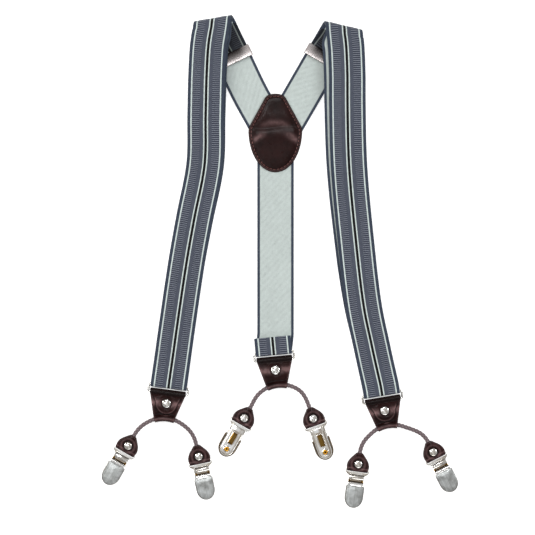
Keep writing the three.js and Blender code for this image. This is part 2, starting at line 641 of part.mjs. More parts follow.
// ---------- leather ends and clips ----------
function leatherEnd() {
  const { fold, barHole, halfThick, topV, maxHalf } = END;
  const side = bar([[topV, -halfThick], [0, -halfThick], [0, halfThick], [topV, halfThick]], maxHalf + 1)
    .add(bar(circlePoints(0, 0, fold, 16), maxHalf + 1));
  const { outer, bore, mouthV, bodyV, coneV, floorV } = END_SLEEVE;
  const sleeve = sleeveSolid([[0, mouthV], [outer, mouthV], [outer, bodyV], [1.0, coneV], [0, coneV]], 16);
  const hole = sleeveSolid([[0, mouthV - 1], [bore, mouthV - 1], [bore, floorV], [0, floorV]], 12);
  return side.intersect(plate(mirrored(END_SIDE.slice().reverse()), -5, 5))
    .add(sleeve)
    .subtract(hole)
    .subtract(bar(circlePoints(0, 0, barHole, 12), maxHalf + 2))
    .subtract(turned([[0, -6], [SHANK_HOLE, -6], [SHANK_HOLE, 6], [0, 6]], END_RIVET_V, 16));
}

// A turned piece about the v axis; the profile lists [radius, v] from axis to axis.
function sleeveSolid(profile, segments) {
  return solid(new THREE.LatheGeometry(profile.map(([r, v]) => new THREE.Vector2(r, v)), segments));
}

// A closed outline from its right-hand side, listed upwards in v.
function mirrored(rightSide) {
  return [...rightSide, ...rightSide.slice().reverse().map(([u, v]) => [-u, v])];
}

function roundedTab(half, startV, tipV, steps = 12) {
  return [[half, startV], ...circlePoints(0, tipV - half, half, steps, 0, 180), [-half, startV]];
}

function clipBase() {
  const { barRadius, loopHalf, slotHalf, slotEnd, bodyHalf, tipV } = CLIP;
  const { backLow, backHigh, bridgeHalf, emboss } = CLIP;
  const flatHalf = 0.5; // the loop's sheet stays inside its round bar
  const slot = mirrored([[slotHalf, flatHalf], [slotHalf, slotEnd]]);
  const { v, seatRadius, barrel } = EYELET;
  const face = backLow + 0.2;
  const raised = backLow - emboss;
  const seat = [[0, raised], [seatRadius, raised], [seatRadius, face], [0, face]];
  return plate(mirrored(LOOP_SIDE), -0.6, 0.6)
    .subtract(plate(slot, -2, 2))
    .add(bar(circlePoints(0, 0, barRadius, 10), loopHalf - 0.5))
    .add(bar(BRIDGE, bridgeHalf))
    .add(plate(roundedTab(bodyHalf, 6, tipV), backLow, backHigh))
    .add(plate(EMBOSSED_PANEL, raised, face))
    .add(turned(seat, v))
    .add(clipEars())
    .subtract(turned([[0, -9], [barrel + 0.25, -9], [barrel + 0.25, 0], [0, 0]], v, 16));
}

// Two lugs with the cover's pin hole; round the pin they stay inside the cover's swing.
function clipEars() {
  const { pinV, pinW, pinHole, earRadius, earHalf, earInner } = CLIP;
  const lug = circlePoints(pinV, pinW, earRadius, 12, -20, 215);
  const outline = [...EAR_FOOT, ...lug];
  const hole = bar(circlePoints(pinV, pinW, pinHole, 14), earHalf);
  const wall = bar(outline, (earHalf - earInner) / 2).subtract(hole);
  const middle = (earHalf + earInner) / 2;
  return wall.translate([middle, 0, 0]).add(wall.translate([-middle, 0, 0]));
}

// Plan outline of a clip's cover: a short straight rim, then a wider leaf with an elliptic tip.
function coverOutline() {
  const { rimV, rimLength, tipV, tipLength, half, rimHalf } = LEVER;
  const tipStart = tipV - tipLength;
  const tip = circlePoints(0, 0, 1, 13, 0, 180).map(([a, b]) => [half * a, tipStart + tipLength * b]);
  const leafV = rimV + rimLength + 1.2;
  return [
    [-rimHalf, rimV], [rimHalf, rimV], [rimHalf, rimV + rimLength], [half, leafV],
    ...tip,
    [-half, leafV], [-rimHalf, rimV + rimLength],
  ];
}

function clipLever() {
  const { low, high, knuckleHalf, knuckleRadius, pinRadius, jawHalf } = LEVER;
  const { pinV, pinW, earHalf } = CLIP;
  const web = [[pinV - 0.9, pinW], [pinV + 1.5, pinW], [pinV + 1.8, low + 0.3], [pinV - 0.4, low + 0.3]];
  return plate(coverOutline(), low, high)
    .add(bar(web, knuckleHalf))
    .add(bar(circlePoints(pinV, pinW, knuckleRadius, 14), knuckleHalf))
    .add(bar(circlePoints(pinV, pinW, pinRadius, 12), earHalf + 0.4))
    .add(bar(JAW_TEETH, jawHalf));
}

function clipPad() {
  const { startV, endV, half, low, high } = PAD;
  const cornerCut = 2.5;
  const points = [
    [-half, startV], [half, startV], [half, endV - cornerCut], [half - cornerCut, endV],
    [-half + cornerCut, endV], [-half, endV - cornerCut],
  ];
  const holeRadius = EYELET.barrel + RUNNING_CLEARANCE;
  const hole = turned([[0, -9], [holeRadius, -9], [holeRadius, 0], [0, 0]], EYELET.v, 16);
  return plate(points, low, high).subtract(hole);
}

function clipEyelet() {
  const { v, flange, barrel, hole } = EYELET;
  const out = CLIP.backLow - CLIP.emboss - 0.1;
  return turned([
    [hole, out - 0.5], [flange - 0.3, out - 0.5], [flange, out - 0.25], [flange, out], [barrel, out],
    [barrel, PAD.low + 0.3], [hole, PAD.low + 0.3], [hole, out - 0.5],
  ], v, 14);
}

// ---------- put it together ----------
function buildStraps() {
  for (const side of ["left", "right"]) {
    add(`strap_${side}`, frontStrap(side), WEBBING);
    add(`strap_${side}_return`, returnStrap(side), WEBBING);
    adjuster(side);
  }
  add("strap_back", backStrap(), WEBBING);
  yokePatch();
}

function buildClipSet(name, end, side) {
  const v = vec(Math.sin(radians(end.lean)), -Math.cos(radians(end.lean)));
  const origin = vec(...end.entry).addScaledVector(v, -END_SLEEVE.mouthV - END_SLEEVE.seatGap);
  const matrix = axesAt(origin.x, origin.y, end.lean, side);
  add(`leather_end_${name}`, leatherEnd(), LEATHER, matrix);
  const endRivet = rivet(END_RIVET_RADIUS, END.halfThick, 0).translate([0, END_RIVET_V, 0]);
  add(`end_rivet_${name}`, endRivet, NICKEL, matrix);
  add(`clip_base_${name}`, clipBase(), NICKEL, matrix);
  add(`clip_lever_${name}`, clipLever(), SATIN, matrix);
  add(`clip_pad_${name}`, clipPad(), GRIP, matrix);
  add(`clip_eyelet_${name}`, clipEyelet(), BRASS, matrix);
  pivot(`clip_${name}_swivel`, vec(0, 0, 0), vec(1, 0, 0), matrix);
  pivot(`clip_${name}_lever`, vec(0, CLIP.pinV, CLIP.pinW), vec(1, 0, 0), matrix);
}

function buildAssembly(name, assembly) {
  const { tilt, side, tubeSlope, ends } = assembly;
  const matrix = axesAt(...assembly.bar, tilt, side);
  const down = vec(Math.sin(radians(tilt)), -Math.cos(radians(tilt)));
  const tubeCentre = vec(...assembly.bar, HARDWARE_Z).addScaledVector(down, TAB.tubeDrop);
  const inward = vec(Math.sin(radians(tubeSlope)), -Math.cos(radians(tubeSlope)));
  const arcCentre = tubeCentre.clone().addScaledVector(inward, CORD.arcRadius);
  add(`ring_${name}`, wireRing(), NICKEL, matrix);
  add(`tab_${name}`, tabBody(matrix, arcCentre, tubeSlope), LEATHER);
  const tabRivet = rivet(TAB_RIVET_RADIUS, TAB.halfThick, TAB_FLAP.thick).translate([0, TAB_RIVET_V, 0]);
  add(`tab_rivet_${name}`, tabRivet, NICKEL, matrix);
  add(`cord_${name}`, tubeAlong(cordPath(arcCentre, tubeSlope, ends), CORD.radius, 8, 44), BRAID);
  pivot(`tab_${name}_swing`, vec(0, 0, 0), vec(1, 0, 0), matrix);
  pivots[`cord_${name}_slide`] = { at: arcCentre, axis: UP.clone() };
  for (const [key, end] of Object.entries(ends)) buildClipSet(`${name}_${key}`, end, side);
}

function centreOnFloor() {
  const box = new THREE.Box3().setFromObject(group);
  const shift = box.getCenter(vec(0, 0)).multiplyScalar(-1).setZ(-box.min.z);
  for (const mesh of group.children) mesh.geometry.translate(shift.x, shift.y, shift.z);
  for (const entry of Object.values(pivots)) entry.at.add(shift);
  group.userData.shift = shift.toArray();
}

buildStraps();
for (const [name, assembly] of Object.entries(ASSEMBLIES)) buildAssembly(name, assembly);
centreOnFloor();
group.userData.pivots = pivots;

export default group;
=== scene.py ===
import json
import math
import bpy
import numpy as np
from mathutils import Matrix, Vector

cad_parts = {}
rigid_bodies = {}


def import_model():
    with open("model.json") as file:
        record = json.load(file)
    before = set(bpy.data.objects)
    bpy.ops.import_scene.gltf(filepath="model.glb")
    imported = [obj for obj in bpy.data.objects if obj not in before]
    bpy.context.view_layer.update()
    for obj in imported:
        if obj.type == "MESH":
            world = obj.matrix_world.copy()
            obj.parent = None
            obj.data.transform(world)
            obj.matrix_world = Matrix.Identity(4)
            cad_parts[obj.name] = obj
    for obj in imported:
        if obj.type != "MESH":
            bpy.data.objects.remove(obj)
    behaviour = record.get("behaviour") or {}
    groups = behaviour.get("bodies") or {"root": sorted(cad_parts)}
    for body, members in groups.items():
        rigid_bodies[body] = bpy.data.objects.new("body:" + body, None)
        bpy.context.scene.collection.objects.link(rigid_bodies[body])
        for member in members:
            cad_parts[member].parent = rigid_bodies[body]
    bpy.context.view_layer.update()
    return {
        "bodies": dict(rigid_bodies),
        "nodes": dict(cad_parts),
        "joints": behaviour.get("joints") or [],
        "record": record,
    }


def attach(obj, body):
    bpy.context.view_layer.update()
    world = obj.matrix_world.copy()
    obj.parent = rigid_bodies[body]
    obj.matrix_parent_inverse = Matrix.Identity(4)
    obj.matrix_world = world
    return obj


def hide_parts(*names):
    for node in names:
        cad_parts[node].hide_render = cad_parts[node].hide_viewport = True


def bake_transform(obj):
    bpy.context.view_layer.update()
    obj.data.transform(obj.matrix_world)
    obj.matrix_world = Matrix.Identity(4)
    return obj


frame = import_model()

mm = 0.001
hardwareZ = 3.9  # mid height of rings, tabs, cords and clips, mm
webWidth = 35.0
joints = {j["name"]: j for j in frame["joints"]}

# the plan below was drawn about its own origin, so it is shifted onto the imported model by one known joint
drawnSwivel = Vector((-3.4, -93.7))
packedSwivel = Vector(joints["tab_centre_swing"]["pos_m"][:2]) / mm
planShift = packedSwivel - drawnSwivel


def say(stage):
    print("suspenders:", stage)


# ---------- colours and materials ----------

def tone(r, g, b):  # 0..255 display colour to linear
    return tuple((c / 255 / 12.92) if c < 10.3 else ((c / 255 + 0.055) / 1.055) ** 2.4
                 for c in (r, g, b)) + (1,)


def newLook(name):
    material = bpy.data.materials.new(name)
    material.use_nodes = True
    tree = material.node_tree
    shader = tree.nodes["Principled BSDF"]
    return material, tree, shader


def addNode(tree, kind, settings=None, **inputs):
    node = tree.nodes.new(kind)
    for key, value in (settings or {}).items():
        setattr(node, key, value)
    for key, value in inputs.items():
        socket = node.inputs[int(key[1:])] if key[0] == "i" and key[1:].isdigit() else node.inputs[key]
        if hasattr(value, "is_output"):
            tree.links.new(value, socket)
        else:
            socket.default_value = value
    return node


def calc(tree, operation, a, b=0.0, c=None):
    node = addNode(tree, "ShaderNodeMath", {"operation": operation}, i0=a, i1=b)
    if c is not None:
        if hasattr(c, "is_output"):
            tree.links.new(c, node.inputs[2])
        else:
            node.inputs[2].default_value = c
    return node.outputs[0]


def times(tree, a, b):
    return calc(tree, "MULTIPLY", a, b)


def plus(tree, a, b):
    return calc(tree, "ADD", a, b)


def spread(tree, value, gain, offset):
    return calc(tree, "MULTIPLY_ADD", value, gain, offset)


def sineOf(tree, value, pitch):
    return calc(tree, "SINE", times(tree, value, 2 * math.pi / pitch))


def setInputs(shader, settings):
    for key, value in settings.items():
        shader.inputs[key].default_value = value


def blendColour(tree, amount, a, b, mode="MIX"):
    node = tree.nodes.new("ShaderNodeMix")
    node.data_type = "RGBA"
    node.blend_type = mode
    for socket, value in ((node.inputs[0], amount), (node.inputs[6], a), (node.inputs[7], b)):
        if hasattr(value, "is_output"):
            tree.links.new(value, socket)
        else:
            socket.default_value = value
    return node.outputs[2]


def rampOf(tree, fac, stops):
    node = addNode(tree, "ShaderNodeValToRGB", None, Fac=fac)
    ramp = node.color_ramp
    while len(ramp.elements) < len(stops):
        ramp.elements.new(0.5)
    for element, (place, colour) in zip(ramp.elements, stops):
        element.position = place
        element.color = colour if len(colour) == 4 else (*colour, 1)
    return node.outputs[0]


def attributeOf(tree, name):
    return addNode(tree, "ShaderNodeAttribute", {"attribute_name": name}).outputs["Fac"]


def grain(tree, scale, detail=3.0, roughness=0.55):
    node = addNode(tree, "ShaderNodeTexNoise", None, Scale=scale, Detail=detail, Roughness=roughness)
    tree.links.new(addNode(tree, "ShaderNodeTexCoord").outputs["Object"], node.inputs["Vector"])
    return node.outputs["Fac"]


def addBump(tree, shader, height, strength, distance):
    bump = addNode(tree, "ShaderNodeBump", None, Strength=strength, Distance=distance, Height=height)
    tree.links.new(bump.outputs[0], shader.inputs["Normal"])
    return bump


webbingSettings = {
    "edge": tone(54, 63, 78), "white": tone(212, 224, 221), "grey": tone(76, 81, 94),
    "black": tone(3, 3, 5),
    "ribDark": tone(48, 53, 66), "ribLight": tone(126, 131, 143),
    "pale": tone(196, 206, 203), "paleEdge": tone(56, 65, 80),
    "ribPitch": 1.9, "twillPitch": 0.55, "twillSlope": 1.4, "yarnPitch": 0.42, "pickPitch": 0.6,
}


def webbingLook():
    s = webbingSettings
    material, tree, shader = newLook("stripedElasticWebbing")
    across = attributeOf(tree, "across")
    along = attributeOf(tree, "along")
    reverse = attributeOf(tree, "reverse")
    ribMask = attributeOf(tree, "ribMask")
    wobble = times(tree, calc(tree, "SUBTRACT", grain(tree, 900.0, 1.0), 0.5), 0.07)
    place = calc(tree, "DIVIDE", plus(tree, across, wobble), webWidth)
    stops = []
    bands = [(0, "edge"), (3.05, "white"), (4.25, "grey"), (15.1, "white"), (16.2, "black"),
             (18.7, "white"), (19.8, "grey"), (30.75, "white"), (31.95, "edge")]
    soft = 0.08
    for i, (start, name) in enumerate(bands):
        if i:
            stops.append(((start + soft) / webWidth, s[name]))
        else:
            stops.append((0, s[name]))
        if i + 1 < len(bands):
            stops.append(((bands[i + 1][0] - soft) / webWidth, s[name]))
    stripes = rampOf(tree, place, stops)
    # the ribs are coloured lighter at their crests and darker in their troughs: painted highlight and shade
    # on the rib relief
    wave = sineOf(tree, along, s["ribPitch"])
    ribTone = rampOf(tree, spread(tree, wave, 0.5, 0.5),
                     [(0.08, s["ribDark"]), (0.62, s["grey"]), (1.0, s["ribLight"])])
    front = blendColour(tree, ribMask, stripes, ribTone)
    diagonal = sineOf(tree, plus(tree, along, times(tree, across, s["twillSlope"])), s["twillPitch"])
    yarn = sineOf(tree, across, s["yarnPitch"])
    pick = sineOf(tree, along, s["pickPitch"])
    weave = spread(tree, times(tree, yarn, pick), 0.5, 0.5)
    paleStripe = rampOf(tree, calc(tree, "DIVIDE", across, webWidth),
                        [(0.0, s["paleEdge"]), (0.066, s["paleEdge"]), (0.082, s["pale"]),
                         (0.918, s["pale"]), (0.934, s["paleEdge"]), (1.0, s["paleEdge"])])
    both = blendColour(tree, calc(tree, "GREATER_THAN", reverse, 0.5), front, paleStripe)
    twillTone = spread(tree, diagonal, 0.045, 0.97)
    threads = spread(tree, weave, 0.16, 0.90)
    fuzz = spread(tree, grain(tree, 260.0, 4.0), 0.26, 0.87)
    shade = times(tree, times(tree, twillTone, threads), fuzz)
    patches = spread(tree, grain(tree, 22.0, 2.0), 0.12, 0.94)
    shade = times(tree, shade, patches)
    # paintedFoldShade darkens the folded return's arm: painted shade under the strap above it
    shade = times(tree, shade, spread(tree, attributeOf(tree, "paintedFoldShade"), -0.74, 1.0))
    coloured = blendColour(tree, 1.0, both, combine(tree, shade), "MULTIPLY")
    tree.links.new(coloured, shader.inputs["Base Color"])
    height = plus(tree, times(tree, weave, 0.6), times(tree, diagonal, 0.25))
    height = plus(tree, height, times(tree, grain(tree, 1500.0, 2.0), 0.5))
    addBump(tree, shader, height, 0.55, 0.00022)
    setInputs(shader, {"Roughness": 0.82, "Sheen Weight": 0.18, "Sheen Roughness": 0.45,
                       "Specular IOR Level": 0.25})
    return material


def combine(tree, value):
    return addNode(tree, "ShaderNodeCombineColor", None, i0=value, i1=value, i2=value).outputs[0]


# worn is the tone of rub wear at the rims and also of painted highlights; edge is the dark of the cut edges
# and also of painted shade
leatherSettings = {"deep": tone(20, 5, 4), "body": tone(36, 14, 13), "worn": tone(138, 108, 108),
                   "edge": tone(12, 6, 6)}


def leatherLook():
    s = leatherSettings
    material, tree, shader = newLook("glossyBrownLeather")
    # lighter where rub is set (rub wear and painted highlights), darker where cutEdgeAndShade is set (cut
    # edges, rolled tops and painted shade)
    rub = attributeOf(tree, "rub")
    mottled = rampOf(tree, grain(tree, 95.0, 5.0), [(0.32, s["deep"]), (0.68, s["body"])])
    withWearAndSheen = blendColour(tree, times(tree, rub, grain(tree, 320.0, 3.0)), mottled, s["worn"])
    cut = attributeOf(tree, "cutEdgeAndShade")
    tree.links.new(blendColour(tree, cut, withWearAndSheen, s["edge"]), shader.inputs["Base Color"])
    coordinates = addNode(tree, "ShaderNodeTexCoord").outputs["Object"]
    pebble = addNode(tree, "ShaderNodeTexVoronoi", {"feature": "DISTANCE_TO_EDGE"}, Scale=1100.0,
                     Vector=coordinates).outputs[0]
    pores = calc(tree, "MINIMUM", times(tree, pebble, 4.0), 1.0)
    folds = grain(tree, 240.0, 4.0)
    height = plus(tree, times(tree, pores, 0.35), times(tree, folds, 1.2))
    addBump(tree, shader, height, 0.30, 0.00025)
    tree.links.new(spread(tree, grain(tree, 180.0, 3.0), 0.20, 0.20), shader.inputs["Roughness"])
    setInputs(shader, {"Specular IOR Level": 0.08, "Coat Weight": 0.06, "Coat Roughness": 0.16})
    return material


metalSettings = {
    "nickel": {"bright": tone(240, 240, 238), "dull": tone(206, 200, 188), "roughness": 0.07,
               "spread": 0.12, "scale": 120.0},
    "satinCover": {"bright": tone(196, 200, 200), "dull": tone(142, 144, 142), "roughness": 0.30,
                   "spread": 0.16, "scale": 170.0},
    "brass": {"bright": tone(236, 178, 62), "dull": tone(188, 122, 30), "roughness": 0.14, "spread": 0.16,
              "scale": 260.0},
    "adjusterNickel": {"bright": tone(236, 230, 230), "dull": tone(214, 206, 206), "roughness": 0.24,
                       "spread": 0.08, "scale": 300.0},
}


def metalLook(name, brushed=0.0):
    s = metalSettings[name]
    material, tree, shader = newLook(name)
    tarnish = grain(tree, s["scale"], 4.0)
    plated = rampOf(tree, tarnish, [(0.34, s["bright"]), (0.72, s["dull"])])
    # dark gold over the clip panel and as painted reflections; near black as painted shade and as a painted
    # reflection of dark surroundings
    withGoldAndReflection = blendColour(tree, attributeOf(tree, "goldAndPaintedReflection"), plated, tone(120, 92, 44))
    polish = attributeOf(tree, "polish")
    shaded = blendColour(tree, attributeOf(tree, "dim"), withGoldAndReflection, tone(34, 27, 28))
    if brushed:
        streak = attributeOf(tree, "streak")
        lines = addNode(tree, "ShaderNodeTexNoise", {"noise_dimensions": "1D"}, Scale=0.9, Detail=4.0,
                        W=streak).outputs["Fac"]
        shaded = blendColour(tree, 1.0, shaded, combine(tree, spread(tree, lines, 0.9, 0.55)), "MULTIPLY")
    tree.links.new(blendColour(tree, polish, shaded, metalSettings["nickel"]["bright"]),
                   shader.inputs["Base Color"])
    shader.inputs["Metallic"].default_value = 1.0
    worn = spread(tree, grain(tree, s["scale"] * 3.5, 3.0), s["spread"], s["roughness"])
    tree.links.new(times(tree, worn, spread(tree, polish, -0.6, 1.0)), shader.inputs["Roughness"])
    scratches = grain(tree, 2400.0, 2.0)
    if brushed:
        scratches = plus(tree, scratches, times(tree, lines, brushed))
    addBump(tree, shader, scratches, 0.10, 0.0001)
    return material


def braidLook():
    material, tree, shader = newLook("braidedBrownCord")
    fibre = grain(tree, 700.0, 4.0)
    # the raised strands are blended towards a light tone: a painted highlight on the braid's crowns
    paintedStrandHighlight = attributeOf(tree, "paintedStrandHighlight")
    body = rampOf(tree, fibre, [(0.3, tone(34, 22, 23)), (0.7, tone(86, 68, 70))])
    tree.links.new(blendColour(tree, times(tree, paintedStrandHighlight, 0.8), body, tone(138, 122, 126)),
                   shader.inputs["Base Color"])
    addBump(tree, shader, grain(tree, 2600.0, 2.0), 0.4, 0.00015)
    setInputs(shader, {"Roughness": 0.58, "Sheen Weight": 0.12})
    return material


def threadLook():
    material, tree, shader = newLook("waxedThread")
    twist = grain(tree, 1800.0, 3.0)
    tree.links.new(rampOf(tree, twist, [(0.3, tone(78, 40, 38)), (0.7, tone(140, 88, 82))]),
                   shader.inputs["Base Color"])
    addBump(tree, shader, twist, 0.4, 0.0001)
    shader.inputs["Roughness"].default_value = 0.55
    return material


def gripLook():
    material, tree, shader = newLook("mouldedGrip")
    tree.links.new(rampOf(tree, grain(tree, 400.0, 3.0),
            [(0.35, tone(120, 116, 110)), (0.7, tone(150, 146, 140))]), shader.inputs["Base Color"])
    addBump(tree, shader, grain(tree, 1600.0, 2.0), 0.3, 0.0001)
    shader.inputs["Roughness"].default_value = 0.5
    return material


looks = {
    "webbing": webbingLook(), "leather": leatherLook(), "nickel": metalLook("nickel"),
    "satin": metalLook("satinCover", 0.8), "brass": metalLook("brass"),
    "adjuster": metalLook("adjusterNickel", 0.3),
    "braid": braidLook(), "thread": threadLook(), "grip": gripLook(),
}
say("materials made")


# ---------- mesh helpers, in mm ----------

def makeObject(name, points, faces, material, matrix=None, attributes=None, sharp=35):
    points = np.asarray(points, float)
    if matrix is not None:
        turn = np.array(matrix.to_3x3())
        points = points @ turn.T + np.array(matrix.translation)
    mesh = bpy.data.meshes.new(name)
    mesh.from_pydata((points * mm).tolist(), [], [list(map(int, f)) for f in faces])
    storeOn(mesh, attributes or {})
    mesh.materials.append(material)
    mesh.shade_smooth()
    if sharp:
        mesh.set_sharp_from_angle(angle=math.radians(sharp))
    mesh.validate()
    mesh.update()
    piece = bpy.data.objects.new(name, mesh)
    bpy.context.scene.collection.objects.link(piece)
    return piece


def fullTurn(count):
    return np.linspace(0, 2 * math.pi, count, endpoint=False)


def placesIn(piece, matrix):
    """the piece's points in its own u, v, w, mm"""
    inverse = np.array(matrix.inverted_safe())
    co = np.array([v.co for v in piece.data.vertices]) / mm
    return co @ inverse[:3, :3].T + inverse[:3, 3]


def storeOn(mesh, attributes):
    for key, values in attributes.items():
        layer = mesh.attributes.new(key, "FLOAT", "POINT")
        layer.data.foreach_set("value", np.asarray(values, np.float32))


def joinParts(*parts):
    points, faces, offset = [], [], 0
    for p, f in parts:
        points.append(np.asarray(p, float))
        faces += [[int(i) + offset for i in face] for face in f]
        offset += len(p)
    return np.vstack(points), faces


def outward(points, faces):
    """turns the faces so that the closed shell's normals point out"""
    volume = 0.0
    for f in faces:
        a = points[f[0]]
        for i in range(1, len(f) - 1):
            volume += np.dot(a, np.cross(points[f[i]], points[f[i + 1]]))
    return faces if volume > 0 else [list(reversed(f)) for f in faces]


def band(i, j, count, base=0):
    """the faces between rows i and j of a skin"""
    return [[base + i * count + k, base + i * count + (k + 1) % count,
             base + j * count + (k + 1) % count, base + j * count + k] for k in range(count)]


def tube(loops, closed=False):
    """skin over loops of equal count, with flat ends unless closed"""
    count = len(loops[0])
    points = np.vstack(loops)
    faces = []
    rows = len(loops)
    for i in range(rows if closed else rows - 1):
        faces += band(i, (i + 1) % rows, count)
    if not closed:
        faces.append(list(range(count))[::-1])
        faces.append([(rows - 1) * count + k for k in range(count)])
    return points, outward(points, faces)


def resampled(loop, spacing, closed=True):
    loop = np.asarray(loop, float)
    if closed:
        loop = np.vstack([loop, loop[:1]])
    run = np.concatenate([[0], np.cumsum(np.linalg.norm(np.diff(loop, axis=0), axis=1))])
    count = max(int(math.ceil(run[-1] / spacing)), 8)
    at = np.linspace(0, run[-1], count + 1)
    out = np.stack([np.interp(at, run, loop[:, i]) for i in range(loop.shape[1])], 1)
    return out[:-1] if closed else out


def rounded(points, radius, steps=4):
    """a polygon with its corners rounded off"""
    points = np.asarray(points, float)
    out = []
    for i, p in enumerate(points):
        before, after = points[i - 1], points[(i + 1) % len(points)]
        a, b = before - p, after - p
        la, lb = np.linalg.norm(a), np.linalg.norm(b)
        reach = min(radius, 0.45 * la, 0.45 * lb)
        start, end = p + a / la * reach, p + b / lb * reach
        for k in range(steps + 1):
            t = k / steps
            out.append((1 - t) ** 2 * start + 2 * t * (1 - t) * p + t * t * end)
    return np.array(out)


def insetLoop(loop, distance):
    loop = np.asarray(loop, float)
    t = np.roll(loop, -1, 0) - np.roll(loop, 1, 0)
    t /= np.maximum(np.linalg.norm(t, axis=1, keepdims=True), 1e-9)
    n = np.stack([-t[:, 1], t[:, 0]], 1)
    area = 0.5 * np.sum(loop[:, 0] * np.roll(loop[:, 1], -1) - np.roll(loop[:, 0], -1) * loop[:, 1])
    return loop + n * distance * (1 if area > 0 else -1)


def edgeDistance(points, loop):
    """how far each point is from the outline"""
    points, loop = np.asarray(points, float), np.asarray(loop, float)
    a, b = loop, np.roll(loop, -1, 0)
    d = b - a
    length = np.maximum((d ** 2).sum(1), 1e-12)
    rel = points[:, None, :] - a[None]
    t = np.clip((rel * d[None]).sum(2) / length[None], 0, 1)
    near = a[None] + t[..., None] * d[None]
    return np.sqrt(((points[:, None, :] - near) ** 2).sum(2)).min(1)


def ringAt(loop, centre, depth):
    """the outline's points moved towards the centre until they are that deep inside it"""
    low, high = np.zeros(len(loop)), np.ones(len(loop))
    for _ in range(14):
        mid = (low + high) / 2
        p = loop + (centre - loop) * mid[:, None]
        deep = edgeDistance(p, loop) >= depth
        high = np.where(deep, mid, high)
        low = np.where(deep, low, mid)
    return loop + (centre - loop) * high[:, None]


def shell(outline, centre, top, bottom, depths, shares, edge=0.3, spacing=0.8):
    """a closed leaf over an outline; top and bottom give w from u, v and the depth inside the edge"""
    loop = resampled(outline, spacing)
    centre = np.asarray(centre, float)
    edgeDepths = [edge * k for k in (0.0, 0.12, 0.4, 1.0)]
    rings = [loop if d == 0 else ringAt(loop, centre, d) for d in [*edgeDepths, *depths]]
    last = rings[-1]
    rings += [last + (centre - last) * s for s in shares]
    count = len(loop)

    def skin(height, sign):
        out = []
        for ring in rings:
            d = edgeDistance(ring, loop)
            short = np.clip(edge - d, 0, edge)
            drop = edge - np.sqrt(np.maximum(edge ** 2 - short ** 2, 0))
            out.append(np.column_stack([ring, height(ring[:, 0], ring[:, 1], d) - sign * drop]))
        d = edgeDistance(centre[None], loop)
        tip = np.column_stack([centre[None], height(centre[None, 0], centre[None, 1], d)])
        return np.vstack([*out, tip])

    upper, lower = skin(top, 1), skin(bottom, -1)
    size = len(upper)
    faces = []
    for base, flip in ((0, False), (size, True)):
        for i in range(len(rings) - 1):
            faces += [quad[::-1] if flip else quad for quad in band(i, i + 1, count, base)]
        inner = base + (len(rings) - 1) * count
        for k in range(count):
            tri = [inner + k, inner + (k + 1) % count, base + size - 1]
            faces.append(tri[::-1] if flip else tri)
    for k in range(count):
        m = (k + 1) % count
        faces.append([size + k, size + m, m, k])
    points = np.vstack([upper, lower])
    return points, outward(points, faces)


def level(w):
    return lambda u, v, d: np.full(len(u), w)


def flatPlate(outline, low, high, edge=0.2, centre=None, spacing=0.8):
    outline = np.asarray(outline, float)
    centre = outline.mean(0) if centre is None else centre
    return shell(outline, centre, level(high), level(low), [], [0.5], edge, spacing)


def sweptBar(profile, half, soft=0.2, offset=0.0, sections=2):
    """a side profile in the v-w plane drawn out along u, with softened ends"""
    profile = np.asarray(profile, float)
    loops = []
    middle = [(u, 0) for u in np.linspace(soft - half, half - soft, sections)]
    for u, cut in ((-half, soft), (-half + 0.3 * soft, 0.3 * soft), *middle,
                   (half - 0.3 * soft, 0.3 * soft), (half, soft)):
        p = insetLoop(profile, cut) if cut else profile
        loops.append(np.column_stack([np.full(len(p), u + offset), p]))
    return tube(loops)


def circle(cx, cy, radius, count=24):
    a = fullTurn(count)
    return np.column_stack([cx + radius * np.cos(a), cy + radius * np.sin(a)])


def turned(profile, v, segments=32):
    """a turned piece about the w axis at (0, v); the profile lists (radius, w) from axis to axis"""
    angles = fullTurn(segments)
    inner = profile[1:-1] if profile[0][0] == 0 else profile
    loops = [np.column_stack([r * np.cos(angles), v + r * np.sin(angles), np.full(segments, w)]) for r,
             w in inner]
    if profile[0][0] != 0:
        return tube(loops, closed=True)
    points = np.vstack([*loops, [[0, v, profile[0][1]]], [[0, v, profile[-1][1]]]])
    faces = []
    for i in range(len(loops) - 1):
        faces += band(i, i + 1, segments)
    first, last = len(points) - 2, len(points) - 1
    for k in range(segments):
        m = (k + 1) % segments
        faces.append([m, k, first])
        faces.append([(len(loops) - 1) * segments + k, (len(loops) - 1) * segments + m, last])
    return points, outward(points, faces)


def rod(start, end, radius, sides=20, soft=0.15):
    start, end = np.asarray(start, float), np.asarray(end, float)
    along = (end - start) / np.linalg.norm(end - start)
    side = np.cross(along, [0.0, 0.0, 1.0] if abs(along[2]) < 0.9 else [1.0, 0.0, 0.0])
    side /= np.linalg.norm(side)
    up = np.cross(side, along)
    angles = fullTurn(sides)
    ring = lambda c, r: c + r * (np.outer(np.cos(angles), side) + np.outer(np.sin(angles), up))
    return tube([ring(start, radius - soft), ring(start + along * soft, radius),
                 ring(end - along * soft, radius), ring(end, radius - soft)])


def bored(part, *cutters):
    """the part with cutters taken out of it"""
    base = makeObject("boredPart", *part, looks["nickel"], sharp=0)
    for points, faces in cutters:
        tool = makeObject("boringTool", points, faces, looks["nickel"], sharp=0)
        cut = base.modifiers.new("bore", "BOOLEAN")
        cut.operation = "DIFFERENCE"
        cut.solver = "EXACT"
        cut.object = tool
        graph = bpy.context.evaluated_depsgraph_get()
        mesh = bpy.data.meshes.new_from_object(base.evaluated_get(graph))
        base.modifiers.clear()
        base.data = mesh
        bpy.data.objects.remove(tool)
    points = np.array([v.co for v in base.data.vertices]) / mm
    faces = [list(p.vertices) for p in base.data.polygons]
    bpy.data.objects.remove(base)
    return points, faces


# ---------- geometry node helpers ----------

